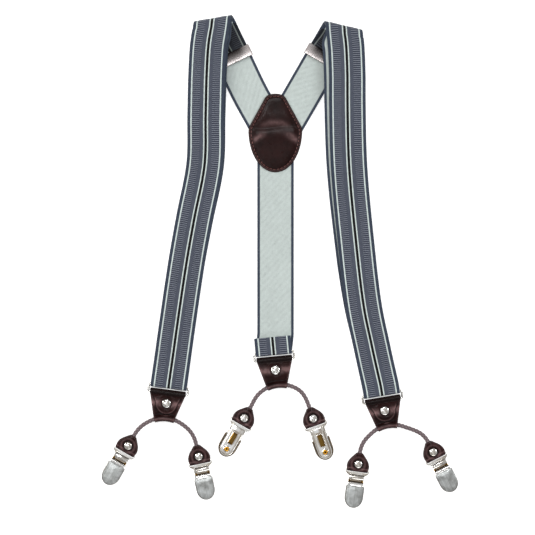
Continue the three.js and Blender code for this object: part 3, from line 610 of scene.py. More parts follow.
def newTree(name, inputs):
    tree = bpy.data.node_groups.new(name, "GeometryNodeTree")
    tree.interface.new_socket("Geometry", in_out="INPUT", socket_type="NodeSocketGeometry")
    for label, value in inputs.items():
        socket = tree.interface.new_socket(label, in_out="INPUT", socket_type="NodeSocketFloat")
        socket.default_value = value
    tree.interface.new_socket("Geometry", in_out="OUTPUT", socket_type="NodeSocketGeometry")
    return tree, tree.nodes.new("NodeGroupInput"), tree.nodes.new("NodeGroupOutput")


def endTree(tree, geometry, sink, material):
    solid = addNode(tree, "GeometryNodeRealizeInstances", None, i0=geometry)
    painted = addNode(tree, "GeometryNodeSetMaterial", None, Geometry=solid.outputs[0])
    painted.inputs["Material"].default_value = material
    tree.links.new(painted.outputs[0], sink.inputs[0])


def grow(piece, tree, settings):
    modifier = piece.modifiers.new(tree.name, "NODES")
    modifier.node_group = tree
    for item in tree.interface.items_tree:
        if item.in_out == "INPUT" and item.name in settings:
            modifier[item.identifier] = float(settings[item.name])
    graph = bpy.context.evaluated_depsgraph_get()
    mesh = bpy.data.meshes.new_from_object(piece.evaluated_get(graph))
    piece.modifiers.remove(modifier)
    piece.data = mesh
    return piece


def namedField(tree, name):
    node = addNode(tree, "GeometryNodeInputNamedAttribute", {"data_type": "FLOAT"})
    node.inputs["Name"].default_value = name
    return node.outputs[0]


def pushOut(tree, geometry, amount):
    """moves the surface along its normal by that many mm"""
    normal = addNode(tree, "GeometryNodeInputNormal").outputs[0]
    offset = addNode(tree, "ShaderNodeVectorMath", {"operation": "SCALE"}, i0=normal)
    tree.links.new(times(tree, amount, mm), offset.inputs["Scale"])
    return addNode(tree, "GeometryNodeSetPosition", None, Geometry=geometry,
                   Offset=offset.outputs[0]).outputs[0]


def webbingTree(material):
    tree, source, sink = newTree("webbingRibs",
            {"Rib pitch": 1.9, "Rib height": 0.16, "Rib start": 4.5, "Rib end": 11.6,
             "Web width": webWidth})
    inputs = source.outputs
    across, along, reverse = (namedField(tree, n) for n in ("across", "along", "reverse"))
    folded = calc(tree, "MINIMUM", across, calc(tree, "SUBTRACT", inputs["Web width"], across))
    inside = times(tree, calc(tree, "GREATER_THAN", folded, inputs["Rib start"]),
                   calc(tree, "LESS_THAN", folded, inputs["Rib end"]))
    mask = times(tree, inside, calc(tree, "LESS_THAN", reverse, 0.5))
    stored = addNode(tree, "GeometryNodeStoreNamedAttribute", {"data_type": "FLOAT", "domain": "POINT"},
                     Geometry=inputs["Geometry"])
    stored.inputs["Name"].default_value = "ribMask"
    tree.links.new(mask, stored.inputs["Value"])
    wave = calc(tree, "SINE", times(tree, along, calc(tree, "DIVIDE", 2 * math.pi, inputs["Rib pitch"])))
    lift = times(tree, times(tree, wave, mask), inputs["Rib height"])
    endTree(tree, pushOut(tree, stored.outputs[0], lift), sink, material)
    return tree


def braidTree(material):
    tree, source, sink = newTree("braidStrands",
                                 {"Strand pitch": 3.4, "Strand count": 4.0, "Strand height": 0.16})
    inputs = source.outputs
    turn, along = namedField(tree, "turn"), namedField(tree, "along")
    advance = times(tree, along, calc(tree, "DIVIDE", 2 * math.pi, inputs["Strand pitch"]))
    spin = times(tree, turn, inputs["Strand count"])
    rightHand = calc(tree, "ABSOLUTE", calc(tree, "SINE", times(tree, plus(tree, spin, advance), 0.5)))
    leftHand = calc(tree, "ABSOLUTE", calc(tree, "SINE",
                                           times(tree, calc(tree, "SUBTRACT", spin, advance), 0.5)))
    weave = calc(tree, "MINIMUM", rightHand, leftHand)
    # the weave value is also kept for the painted highlight on the strand crowns
    stored = addNode(tree, "GeometryNodeStoreNamedAttribute", {"data_type": "FLOAT", "domain": "POINT"},
                     Geometry=inputs["Geometry"])
    stored.inputs["Name"].default_value = "paintedStrandHighlight"
    tree.links.new(weave, stored.inputs["Value"])
    lift = times(tree, calc(tree, "SUBTRACT", weave, 0.6), inputs["Strand height"])
    endTree(tree, pushOut(tree, stored.outputs[0], lift), sink, material)
    return tree


def stitchTree(name, material):
    tree, source, sink = newTree(name, {"Stitch pitch": 3.4, "Stitch length": 2.6, "Thread radius": 0.28})
    inputs = source.outputs
    line = addNode(tree, "GeometryNodeMeshToCurve", None, Mesh=inputs["Geometry"]).outputs[0]
    spots = addNode(tree, "GeometryNodeCurveToPoints", {"mode": "LENGTH"}, Curve=line)
    tree.links.new(times(tree, inputs["Stitch pitch"], mm), spots.inputs["Length"])
    bead = addNode(tree, "GeometryNodeMeshUVSphere")
    bead.inputs["Segments"].default_value = 8
    bead.inputs["Rings"].default_value = 6
    bead.inputs["Radius"].default_value = mm
    size = addNode(tree, "ShaderNodeCombineXYZ")
    tree.links.new(inputs["Thread radius"], size.inputs[0])
    tree.links.new(inputs["Thread radius"], size.inputs[1])
    tree.links.new(times(tree, inputs["Stitch length"], 0.5), size.inputs[2])
    along = addNode(tree, "FunctionNodeAlignRotationToVector", {"axis": "Z"},
                    Vector=spots.outputs["Tangent"])
    sewn = addNode(tree, "GeometryNodeInstanceOnPoints", None, Points=spots.outputs["Points"],
                   Instance=bead.outputs["Mesh"])
    tree.links.new(along.outputs[0], sewn.inputs["Rotation"])
    tree.links.new(size.outputs[0], sewn.inputs["Scale"])
    endTree(tree, sewn.outputs[0], sink, material)
    return tree


def sewLine(name, points, tree, settings, material):
    mesh = bpy.data.meshes.new(name)
    mesh.from_pydata((np.asarray(points) * mm).tolist(), [(i, i + 1) for i in range(len(points) - 1)], [])
    mesh.materials.append(material)
    piece = bpy.data.objects.new(name, mesh)
    bpy.context.scene.collection.objects.link(piece)
    grow(piece, tree, settings)
    piece.data.shade_smooth()
    return piece


trees = {
    "webbing": webbingTree(looks["webbing"]), "braid": braidTree(looks["braid"]),
    "leatherStitch": stitchTree("leatherStitches", looks["thread"]),
}
say("node trees made")


# ---------- cords ----------

ringPitch = 7.2  # between the ring's two bars
tabDrop = 23.8  # from the ring's lower bar to the middle of the rolled tube
cordSettings = {"radius": 2.0, "arcRadius": 30.0, "arcHalfAngle": 31.0, "mouth": -16.4, "floor": -11.0,
                "seatGap": 0.4}
assemblies = {
    "Left": {"bar": (-105.6, -125.6), "tilt": -7.5, "side": 1, "tubeSlope": -2.5,
             "ends": {"A": ((-138.5, -166.8), -30.0), "B": ((-78.1, -175.8), 12.0)}},
    "Centre": {"bar": (-3.4, -93.7), "tilt": 5.5, "side": -1, "tubeSlope": 8.0,
               "ends": {"A": ((-27.1, -140.2), -30.0), "B": ((30.3, -139.9), 19.5)}},
    "Right": {"bar": (100.5, -132.7), "tilt": 9.4, "side": 1, "tubeSlope": 11.4,
              "ends": {"A": ((78.3, -183.1), -8.0), "B": ((143.9, -172.5), 27.0)}},
}


def downward(lean):
    return np.array([math.sin(math.radians(lean)), -math.cos(math.radians(lean)), 0.0])


def planPoint(x, y, z=0.0):
    return np.array([x + planShift.x, y + planShift.y, z])


def axesAt(point, lean, side):
    """u across, v down along a hanging piece, w to its front"""
    v = Vector(downward(lean))
    w = Vector((0, 0, side))
    u = v.cross(w)
    matrix = Matrix((u, v, w)).transposed().to_4x4()
    matrix.translation = Vector(point)
    return matrix


def arcAbout(centre, radius, slope, halfAngle, steps):
    angles = np.radians(90 + slope + halfAngle - 2 * halfAngle * np.arange(steps + 1) / steps)
    return centre + radius * np.column_stack([np.cos(angles), np.sin(angles), np.zeros(len(angles))])


def cordPoints(name):
    """the cord's route in metres: under the tab on an arc, and a bend down to each leather end"""
    s, a = cordSettings, assemblies[name]
    barMiddle = planPoint(*a["bar"], hardwareZ)
    centre = barMiddle + downward(a["tilt"]) * tabDrop + downward(a["tubeSlope"]) * s["arcRadius"]
    arc = arcAbout(centre, s["arcRadius"], a["tubeSlope"], s["arcHalfAngle"], 60)

    def tail(start, way, end):
        (x, y), lean = end
        goal = planPoint(x, y, hardwareZ)
        v = downward(lean)
        reach = np.linalg.norm(goal - start) * 0.4
        p1, p2 = start + way * reach, goal - v * reach
        t = np.linspace(0, 1, 61)[1:, None]
        bend = (1 - t) ** 3 * start + 3 * t * (1 - t) ** 2 * p1 + 3 * t ** 2 * (1 - t) * p2 + t ** 3 * goal
        seated = goal + v * (s["floor"] - s["mouth"] - 2 * s["seatGap"])
        return np.vstack([bend, (goal + seated) / 2, seated])

    leftWay = (arc[0] - arc[1]) / np.linalg.norm(arc[0] - arc[1])
    rightWay = (arc[-1] - arc[-2]) / np.linalg.norm(arc[-1] - arc[-2])
    route = np.vstack([tail(arc[0], leftWay, a["ends"]["A"])[::-1], arc,
                       tail(arc[-1], rightWay, a["ends"]["B"])])
    return resampled(route, 0.22, closed=False) * mm, centre


def braidedCord(name):
    path, _ = cordPoints(name)
    line = path / mm
    ways = np.gradient(line, axis=0)
    ways /= np.linalg.norm(ways, axis=1, keepdims=True)
    across = np.cross(ways, [0.0, 0.0, 1.0])
    sides = 40
    angles = fullTurn(sides)
    run = np.concatenate([[0], np.cumsum(np.linalg.norm(np.diff(line, axis=0), axis=1))])
    loops = []
    for p, a in zip(line, across):
        loops.append(p + cordSettings["radius"]
                     * (np.outer(np.cos(angles), a) + np.outer(np.sin(angles), [0, 0, 1.0])))
    points, faces = tube(loops)
    attributes = {"turn": np.tile(angles, len(line)), "along": np.repeat(run, sides)}
    piece = makeObject("braidedCord" + name, points, faces, looks["braid"], attributes=attributes, sharp=0)
    grow(piece, trees["braid"], {"Strand pitch": 3.6, "Strand count": 4, "Strand height": 0.34})
    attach(piece, "cord_" + name.lower())
    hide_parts("cord_" + name.lower())
    return piece


for name in assemblies:
    braidedCord(name)
say("cords laid")


# ---------- camera and light ----------

studioSettings = {
    "lens": 112.1, "cameraHeight": 1.6, "aim": (-10.1, -5.0), "room": 0.84, "floorHalf": 3.0,
    "floorZ": -0.0004, "floorGlow": 0.60,
    "softboxes": {  # place in m, watts, size in m, colour
        "softboxLeft": ((-1.25, 0.35, 0.8), 11, (0.45, 0.7), (1.0, 0.99, 0.97)),
        "softboxRight": ((1.25, 0.3, 0.85), 9.5, (0.45, 0.7), (0.96, 0.98, 1.0)),
        "softboxHead": ((-0.12, 0.5, 1.5), 3.6, (0.55, 0.1), (1, 1, 1)),
        "softboxNear": ((-0.42, -0.12, 1.55), 1.6, (0.1, 0.4), (1, 1, 1)),
        "softboxFoot": ((0.2, -1.2, 0.8), 3.2, (0.9, 0.3), (1, 1, 1)),
    },
}
aim = (Vector((*studioSettings["aim"], 0)) + Vector((planShift.x, planShift.y, 0))) * mm
camera = bpy.data.cameras.new("camera")
camera.sensor_width = 36
camera.lens = studioSettings["lens"]
cameraObject = bpy.data.objects.new("camera", camera)
cameraObject.location = (aim.x, aim.y, studioSettings["cameraHeight"])
bpy.context.scene.collection.objects.link(cameraObject)
bpy.context.scene.camera = cameraObject
bpy.context.scene.view_settings.view_transform = "Standard"


def areaLight(name, place, power, size, colour):
    light = bpy.data.lights.new(name, "AREA")
    light.energy = power
    light.shape = "RECTANGLE"
    light.size, light.size_y = size
    light.color = colour
    lamp = bpy.data.objects.new(name, light)
    lamp.location = place
    lamp.rotation_euler = (Vector((0, 0, 0)) - Vector(place)).to_track_quat("-Z", "Y").to_euler()
    bpy.context.scene.collection.objects.link(lamp)


for label, setting in studioSettings["softboxes"].items():
    areaLight(label, *setting)


def studioWorld():
    world = bpy.data.worlds.new("studio")
    world.use_nodes = True
    tree = world.node_tree
    way = addNode(tree, "ShaderNodeTexCoord").outputs["Generated"]
    parts = addNode(tree, "ShaderNodeSeparateXYZ", None, i0=way).outputs
    patches = addNode(tree, "ShaderNodeTexNoise", None, Scale=4.6, Detail=1.5, Vector=way).outputs["Fac"]
    room = rampOf(tree, patches, [(0.36, (0.34, 0.29, 0.25)), (0.45, (0.62, 0.57, 0.52)),
            (0.52, (1.0, 1.0, 1.0)), (0.60, (0.95, 0.97, 1.0)), (0.68, (0.45, 0.46, 0.48))])
    height = spread(tree, parts[2], 0.5, 0.5)
    shade = rampOf(tree, height, [(0.45, (0.22, 0.22, 0.22)), (0.8, (0.64, 0.64, 0.64)),
                                  (0.95, (0.7, 0.7, 0.7)), (0.99, (1.0, 1.0, 1.0))])
    back = tree.nodes["Background"]
    tree.links.new(blendColour(tree, 1.0, room, shade, "MULTIPLY"), back.inputs["Color"])
    back.inputs["Strength"].default_value = studioSettings["room"]
    bpy.context.scene.world = world


studioWorld()


def paleFloor():
    half, z = studioSettings["floorHalf"], studioSettings["floorZ"]
    mesh = bpy.data.meshes.new("floor")
    mesh.from_pydata([(-half, -half, z), (half, -half, z), (half, half, z), (-half, half, z)], [],
                     [(0, 1, 2, 3)])
    material, _, shader = newLook("paleFloor")
    setInputs(shader, {"Base Color": (0.86, 0.86, 0.86, 1), "Roughness": 0.9,
                       "Emission Color": (1, 1, 1, 1), "Emission Strength": studioSettings["floorGlow"]})
    mesh.materials.append(material)
    floor = bpy.data.objects.new("floor", mesh)
    bpy.context.scene.collection.objects.link(floor)


paleFloor()
say("camera, light and floor set")


# ---------- webbing ----------

webbingShape = {
    "thick": 1.4, "layerPitch": 1.7, "floorLayer": 0.9, "adjusterLayer": 3.0, "patchLayer": 2.0,
    "foldInner": 3.2, "foldOuter": 4.9, "ringWrap": 2.0, "wrapTail": 4.0, "cutY": 104.2, "patchX": -2.6,
    "patchFoot": 85.5, "backX": -2.4, "columnStep": 0.475,
    # where the heights change along the straps, and over what length
    "armRiseY": 152, "armRise": 16, "armDrop": 9.5, "drapeY": 172, "drape": 110, "ringRiseY": 34,
    "ringRise": 30,
}
straps = {
    "Left": {
        "arm": [(4.0, 105.5), (-12.8, 136), (-28.0, 163.7), (-41.6, 192.2)], "armAngle": 115.6,
        "foldAngle": 9.7, "foldStart": (-59.0, 228.6),
        "front": [(-66.4, 208), (-68.0, 184), (-69.2, 140), (-70.3, 94.4), (-80.2, 42.5), (-87.2, 3.2),
                  (-96.5, -59)],
        "returnShift": [(208, 1.8), (160, 1.6), (60, 0.8), (0, 0)], "armShift": 0.0, "adjusterY": 191.2,
    },
    "Right": {
        "arm": [(-8.0, 106.2), (7.0, 132.3), (19.6, 154.1), (38.0, 186.0)], "armAngle": 60.0,
        "foldAngle": -13.2, "foldStart": (58.8, 222.0),
        "front": [(64.9, 206), (66.0, 180), (66.2, 150), (67.9, 94.4), (74.4, 22.4), (82.2, -42.9),
                  (89.6, -79)],
        "returnShift": [(206, -5.0), (160, -4.6), (60, -3.6), (0, -2.6), (-65, 0)], "armShift": -1.5,
        "adjusterY": 191.6,
    },
}
adjusterLength = 10.6
foldLead = 5.6  # the arm's stations stop this far before the fold's


def smooth(t):
    t = min(max(t, 0.0), 1.0)
    return t * t * (3 - 2 * t)


def pathThrough(points, step):
    """evenly spaced points on a centripetal spline"""
    knots = np.asarray(points, float)
    dense = []
    t = np.linspace(0, 1, 60, endpoint=False)[:, None]
    for i in range(len(knots) - 1):
        p1, p2 = knots[i], knots[i + 1]
        p0 = knots[i - 1] if i else 2 * p1 - p2
        p3 = knots[i + 2] if i + 2 < len(knots) else 2 * p2 - p1
        d0, d1, d2 = (np.linalg.norm(b - a) ** 0.5 for a, b in ((p0, p1), (p1, p2), (p2, p3)))
        m1 = ((p1 - p0) / d0 - (p2 - p0) / (d0 + d1) + (p2 - p1) / d1) * d1
        m2 = ((p2 - p1) / d1 - (p3 - p1) / (d1 + d2) + (p3 - p2) / d2) * d1
        dense.append((2 * t ** 3 - 3 * t ** 2 + 1) * p1 + (t ** 3 - 2 * t ** 2 + t) * m1
                     + (3 * t ** 2 - 2 * t ** 3) * p2 + (t ** 3 - t ** 2) * m2)
    dense.append(knots[-1:])
    return resampled(np.vstack(dense), step, closed=False)


def armHeight(y, strap):
    w = webbingShape
    adjusterTop = adjusterLength * math.sin(math.radians(strap["armAngle"]))
    rise = smooth((y - w["armRiseY"]) / w["armRise"])
    drop = smooth((y - strap["adjusterY"] - adjusterTop) / w["armDrop"])
    overPatch, overFloor = w["adjusterLayer"] - w["patchLayer"], w["adjusterLayer"] - w["floorLayer"]
    return w["patchLayer"] + overPatch * rise - overFloor * drop


def frontHeight(y, ringY, isReturn):
    w = webbingShape
    low, high = w["floorLayer"], w["floorLayer"] + 2 * w["foldOuter"]
    if isReturn:
        floor, top, ringZ = low, high - w["layerPitch"], hardwareZ - w["ringWrap"]
    else:
        floor, top, ringZ = low + w["layerPitch"], high, hardwareZ + w["ringWrap"]
    drape = smooth((w["drapeY"] - y) / w["drape"])
    rise = smooth((ringY + w["ringRiseY"] - y) / w["ringRise"])
    return top + (floor - top) * drape + (ringZ - floor) * rise


def station(centre, edge):
    half = np.asarray(edge) * webWidth / 2
    return centre + half, centre - half


def squareStations(centres, turnedOver, fixedEdge=None):
    ways = np.gradient(np.asarray(centres), axis=0)
    out = []
    for c, t in zip(centres, ways):
        flat = np.array([t[0], t[1]]) / np.hypot(t[0], t[1])
        edge = fixedEdge if fixedEdge is not None else np.array([-flat[1], flat[0], 0.0]) * (-1
                if turnedOver else 1)
        out.append(station(c, edge))
    return out


def foldStations(strap, radius, shift):
    """rulings of the strap rolled half a turn about its slanting fold line"""
    w = webbingShape
    f = np.array([math.cos(math.radians(strap["foldAngle"])), math.sin(math.radians(strap["foldAngle"])),
                  0.0])
    n = np.array([-f[1], f[0], 0.0])
    d = np.array([math.cos(math.radians(strap["armAngle"])), math.sin(math.radians(strap["armAngle"])),
                  0.0])
    along, across = d @ f, d @ n
    start = np.array([*strap["foldStart"], 0.0]) - f * shift / across
    wrap = math.pi * radius
    axisZ = w["floorLayer"] + w["foldOuter"]

    def at(q, h):
        angle = min(max(q / radius, 0.0), math.pi)
        out = q if q < 0 else wrap - q if q > wrap else radius * math.sin(angle)
        p = start + f * (along * q - h) / across + n * out
        p[2] = axisZ - radius * math.cos(angle)
        return p

    offsets = [-2.0, 0.0, *(wrap * i / 16 for i in range(1, 17)), wrap + 2.0]
    half = webWidth / 2
    return [(at(q, half), at(q, -half)) for q in offsets], at(-2.0, 0.0), at(wrap + 2.0, 0.0)


def ringBarOf(name):
    a = assemblies[name]
    v = downward(a["tilt"])
    lower = np.array([*a["bar"], hardwareZ])
    return v, lower, lower - v * ringPitch


def ringWrap(upper, v, side):
    angles = np.linspace(0, math.pi, 15)
    r = webbingShape["ringWrap"]
    return [upper + v * r * math.sin(a) + np.array([0, 0, side * r * math.cos(a)]) for a in angles]


def armCentres(strap):
    _, armEnd, _ = foldStations(strap, webbingShape["foldOuter"], 0.0)
    path = pathThrough([*strap["arm"], armEnd[:2]], 2.5)
    return np.array([[x, y, armHeight(y if i < len(path) - 1 else 1e3, strap)] for i,
                     (x, y) in enumerate(path)]), armEnd


def frontCentres(strap, start, name, isReturn):
    v, _, upper = ringBarOf(name)
    goal = upper - v * 8
    path = pathThrough([start[:2], *strap["front"], goal[:2]], 7)
    kept = [p for p in path if goal[1] + 3 < p[1] < start[1] - 6] + [goal[:2]]
    out = []
    shifts = strap["returnShift"]
    for i, p in enumerate(kept):
        t = kept[min(i + 1, len(kept) - 1)] - kept[max(i - 1, 0)]
        t = t / np.linalg.norm(t)
        shift = np.interp(-p[1], [-y for y, _ in shifts], [s for _, s in shifts]) if isReturn else 0.0
        moved = p + np.array([-t[1], t[0]]) * shift
        out.append([*moved, frontHeight(p[1], upper[1], isReturn)])
    return np.array(out), v, upper


def smoothThrough(knots, values, at):
    slopes = np.gradient(values, knots, axis=0)
    i = np.clip(np.searchsorted(knots, at, side="right") - 1, 0, len(knots) - 2)
    h = (knots[i + 1] - knots[i])[:, None]
    t = (at - knots[i])[:, None] / h
    return ((2 * t ** 3 - 3 * t ** 2 + 1) * values[i] + (t ** 3 - 2 * t ** 2 + t) * h * slopes[i]
            + (3 * t ** 2 - 2 * t ** 3) * values[i + 1] + (t ** 3 - t ** 2) * h * slopes[i + 1])


def crossSection():
    """places across the webbing, with the share of its half thickness there"""
    half = [(0.0, 0.30), (0.08, 0.62), (0.3, 0.86), (0.7, 1.0)] + [(x, 1.0) for x in (
        1.6, 2.4, 2.95, 3.1, 3.7, 4.35, 4.48, 4.6, 5.4, 6.4, 7.4, 8.4, 9.4, 10.4, 11.4, 11.52, 11.64, 12.4,
        13.6, 14.9, 15.2, 16.3, 16.5)]
    face = half + [(17.5, 1.0)] + [(35.0 - x, h) for x, h in reversed(half)]
    plain = [(0.0, 0.30), (0.08, 0.62), (0.3, 0.86), (0.7, 1.0), (2.2, 1.0), (3.2, 1.0), (8.0, 1.0),
             (12.5, 1.0)]
    back = plain + [(17.5, 1.0)] + [(35.0 - x, h) for x, h in reversed(plain)]
    return face, back


def webbingPiece(name, stations, patternSign, trim=None, startAlong=0.0, paintedFoldShade=0.0):
    """one run of webbing; patternSign is the side of its normal that carries the stripes"""
    left = np.array([s[0] for s in stations])
    right = np.array([s[1] for s in stations])
    middle = (left + right) / 2
    knots = np.concatenate([[0], np.cumsum(np.linalg.norm(np.diff(middle, axis=0), axis=1))])
    at = np.linspace(0, knots[-1], int(knots[-1] / webbingShape["columnStep"]) + 1)
    left, right = smoothThrough(knots, left, at), smoothThrough(knots, right, at)
    middle = (left + right) / 2
    run = np.concatenate([[0], np.cumsum(np.linalg.norm(np.diff(middle, axis=0), axis=1))])
    way = np.gradient(middle, axis=0)
    way /= np.linalg.norm(way, axis=1, keepdims=True)
    ruling = left - right
    normal = np.cross(way, ruling)
    normal /= np.linalg.norm(normal, axis=1, keepdims=True)
    shear = (ruling * way).sum(1)
    face, back = crossSection()
    half = webbingShape["thick"] / 2
    columns = [(x, patternSign * h, 0.0) for x, h in face] + [(x, -patternSign * h, 1.0) for x,
            h in reversed(back)]
    share = np.array([c[0] for c in columns]) / webWidth
    height = np.array([c[1] for c in columns]) * half
    points = right[:, None] + ruling[:, None] * share[None, :, None] + normal[:, None] * height[None, :,
            None]
    along = startAlong + run[:, None] + shear[:, None] * (share[None] - 0.5)
    if trim is not None:
        points = trim(points)
    rows, count = along.shape
    points = points + np.array([planShift.x, planShift.y, 0.0])
    attributes = {
        "across": np.tile(share * webWidth, rows), "along": along.ravel(),
        "reverse": np.tile([c[2] for c in columns], rows), "paintedFoldShade": np.full(rows * count, paintedFoldShade),
    }
    flat, faces = tube(list(points))
    piece = makeObject(name, flat, faces, looks["webbing"], attributes=attributes, sharp=50)
    grow(piece, trees["webbing"], {"Rib pitch": webbingSettings["ribPitch"], "Rib height": 0.17})
    print("webbing", name, "length mm", round(float(run[-1]), 1), "faces", len(faces))
    return piece, float(run[-1])


def declareSheet(piece, node):
    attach(piece, "straps")
    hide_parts(node)


def mitre(sign):
    """the arms meet on a line up the patch's middle, and stop short below it"""
    def trim(points):
        edge = webbingShape["patchX"] + sign * 0.2
        under = points[..., 1] < 170
        x = np.where(under, np.maximum(points[..., 0] * sign, edge * sign) * sign, points[..., 0])
        y = np.where(under & (points[..., 1] < webbingShape["cutY"]), webbingShape["cutY"], points[..., 1])
        return np.stack([x, y, points[..., 2]], -1)
    return trim


def frontStrap(name):
    strap = straps[name]
    fold, armEnd, frontStart = foldStations(strap, webbingShape["foldOuter"], 0.0)
    arm, _ = armCentres(strap)
    arm = arm[arm[:, 1] < armEnd[1] - foldLead]
    front, v, upper = frontCentres(strap, frontStart, name, False)
    wrap = ringWrap(upper, v, 1)
    across = np.array([v[1], -v[0], 0.0])
    tail = [wrap[-1] - v * t for t in (2.0, webbingShape["wrapTail"])]
    stations = [*squareStations(arm, False), *fold, *squareStations(front, True),
                *(station(c, across) for c in [*wrap, *tail])]
    sign = -1 if name == "Left" else 1
    piece, length = webbingPiece("frontStrap" + name, stations, -1, trim=armTrim(sign, arm))
    declareSheet(piece, "strap_" + name.lower())


def armTrim(sign, arm):
    cut = mitre(sign)

    def trim(points):
        rows = int(np.linalg.norm(np.diff(arm, axis=0), axis=1).sum() / webbingShape["columnStep"])
        out = points.copy()
        out[:rows] = cut(points[:rows])
        return out
    return trim


def foldedReturn(name):
    strap = straps[name]
    w = webbingShape
    fold, armEnd, frontStart = foldStations(strap, w["foldInner"], strap["armShift"])
    arm, _ = armCentres(strap)
    endY = armEnd[1] - foldLead
    startY = strap["adjusterY"] + 1.2
    angle = math.radians(strap["armAngle"])
    edge = np.array([-math.sin(angle), math.cos(angle), 0.0])
    inArm = []
    for y in np.linspace(startY, endY, 13):
        x = np.interp(y, arm[:, 1], arm[:, 0])
        c = np.array([x, y, armHeight(y, strap) + w["layerPitch"]])
        inArm.append(c + edge * strap["armShift"] * smooth((y - startY - 6) / (endY - startY - 6)))
    front, v, upper = frontCentres(strap, frontStart, name, True)
    front[-1] = upper - v * (w["wrapTail"] + 0.3)
    front[-1][2] = hardwareZ - w["ringWrap"]
    frontPart = squareStations(front, True)
    frontPart[-1] = station(front[-1], np.array([v[1], -v[0], 0.0]))
    armPart = [*squareStations(inArm, False, edge), fold[0]]
    # this arm lies under the front strap, so its webbing gets painted shade
    armPiece, armLength = webbingPiece("foldedReturnArm" + name, armPart, 1, paintedFoldShade=1.0)
    frontPiece, frontLength = webbingPiece("foldedReturn" + name, [*fold, *frontPart], 1,
                                           startAlong=armLength)
    node = "strap_" + name.lower()
    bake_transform(armPiece)
    declareSheet(frontPiece, node + "_return")


def backStrap():
    w = webbingShape
    v, _, upper = ringBarOf("Centre")
    endY = upper[1]
    topY = w["cutY"] - 0.3
    centres = []
    for y in np.linspace(topY, endY + 6, 60):
        drop = smooth((w["patchFoot"] - y) / 20)
        rise = smooth((endY + 30 - y) / 26)
        ringZ = hardwareZ - w["ringWrap"]
        z = w["patchLayer"] + (w["floorLayer"] - w["patchLayer"]) * drop + (ringZ - w["floorLayer"]) * rise
        x = w["backX"] + (upper[0] - w["backX"]) * smooth((endY + 20 - y) / 20)
        centres.append([x, y, z])
    wrap = ringWrap(upper, v, -1)
    across = -np.array([v[1], -v[0], 0.0])
    flap = []
    for t in (4.0, 8.0, 12.0, 15.0):
        c = upper - v * t
        c[2] = hardwareZ + w["ringWrap"] - 1.25 * smooth((t - 2) / 10)
        flap.append(c)
    stations = [*squareStations(np.array(centres), False), *(station(c, across) for c in [*wrap, *flap])]
    piece, length = webbingPiece("backStrap", stations, -1)
    declareSheet(piece, "strap_back")


for name in straps:
    frontStrap(name)
    foldedReturn(name)
backStrap()
say("webbing woven")


# ---------- leather ----------

def smoothMax(a, b, soft):
    h = np.clip(0.5 + 0.5 * (a - b) / soft, 0, 1)
    return b + (a - b) * h + soft * h * (1 - h)


def hump(value, middle, spread):
    return np.exp(-((value - middle) / spread) ** 2)


def paintLeather(piece, outline, matrix, edgeBand=0.9, dark=None, flap=None, paintedSheen=None):
    """rub marks near the rim and dark cut edges, with painted highlights and painted shade added, kept as
    attributes
    """
    local = placesIn(piece, matrix)
    d = edgeDistance(local[:, :2], np.asarray(outline, float))
    shade = np.clip(1 - d / 0.3, 0, 1)
    # the caller's extra darkening, in parts painted shade
    if dark is not None:
        shade = np.maximum(shade, dark(*local.T))
    # along the flap's outline: its dark cut edge and a painted shade band beside it
    if flap is not None:
        near = edgeDistance(local[:, :2], np.asarray(flap, float))
        shade = np.maximum(shade, np.clip(1.15 - near / 0.55, 0, 1) * (local[:, 2] > 1.0)
                           * (local[:, 1] > 3.5))
    rub = hump(d, edgeBand, 0.55) * 0.35
    # the caller's painted highlights are added to the rub wear
    if paintedSheen is not None:
        rub = rub + paintedSheen(*local.T)
    storeOn(piece.data, {"cutEdgeAndShade": shade, "rub": rub})


patchSettings = {"stitchInset": 2.7, "groove": 0.3, "puff": 0.75, "creaseY": 130.0, "creaseDepth": 0.26}


def bezier(p0, p1, p2, p3, steps=14):
    t = np.linspace(0, 1, steps, endpoint=False)[:, None]
    p0, p1, p2, p3 = (np.asarray(p, float) for p in (p0, p1, p2, p3))
    return (1 - t) ** 3 * p0 + 3 * t * (1 - t) ** 2 * p1 + 3 * t ** 2 * (1 - t) * p2 + t ** 3 * p3


def patchOutline():
    x = -2.6
    right = [
        *bezier((x - 10.2, 157.2), (x - 7.4, 163.2), (x + 7.4, 163.2), (x + 10.2, 157.2)),
        (x + 10.2, 157.2), (x + 24.2, 131.6),
        *bezier((x + 24.2, 131.6), (x + 25.4, 129.2), (x + 25.8, 127.0), (x + 25.8, 124.6), 8),
        *bezier((x + 25.8, 124.6), (x + 25.2, 104), (x + 14.6, 86.2), (x, 86.2)),
        *bezier((x, 86.2), (x - 14.6, 86.2), (x - 25.2, 104), (x - 25.8, 124.6)),
        *bezier((x - 25.8, 124.6), (x - 25.8, 127.0), (x - 25.4, 129.2), (x - 24.2, 131.6), 8),
        (x - 24.2, 131.6),
    ]
    return np.array(right) + np.array([planShift.x, planShift.y])


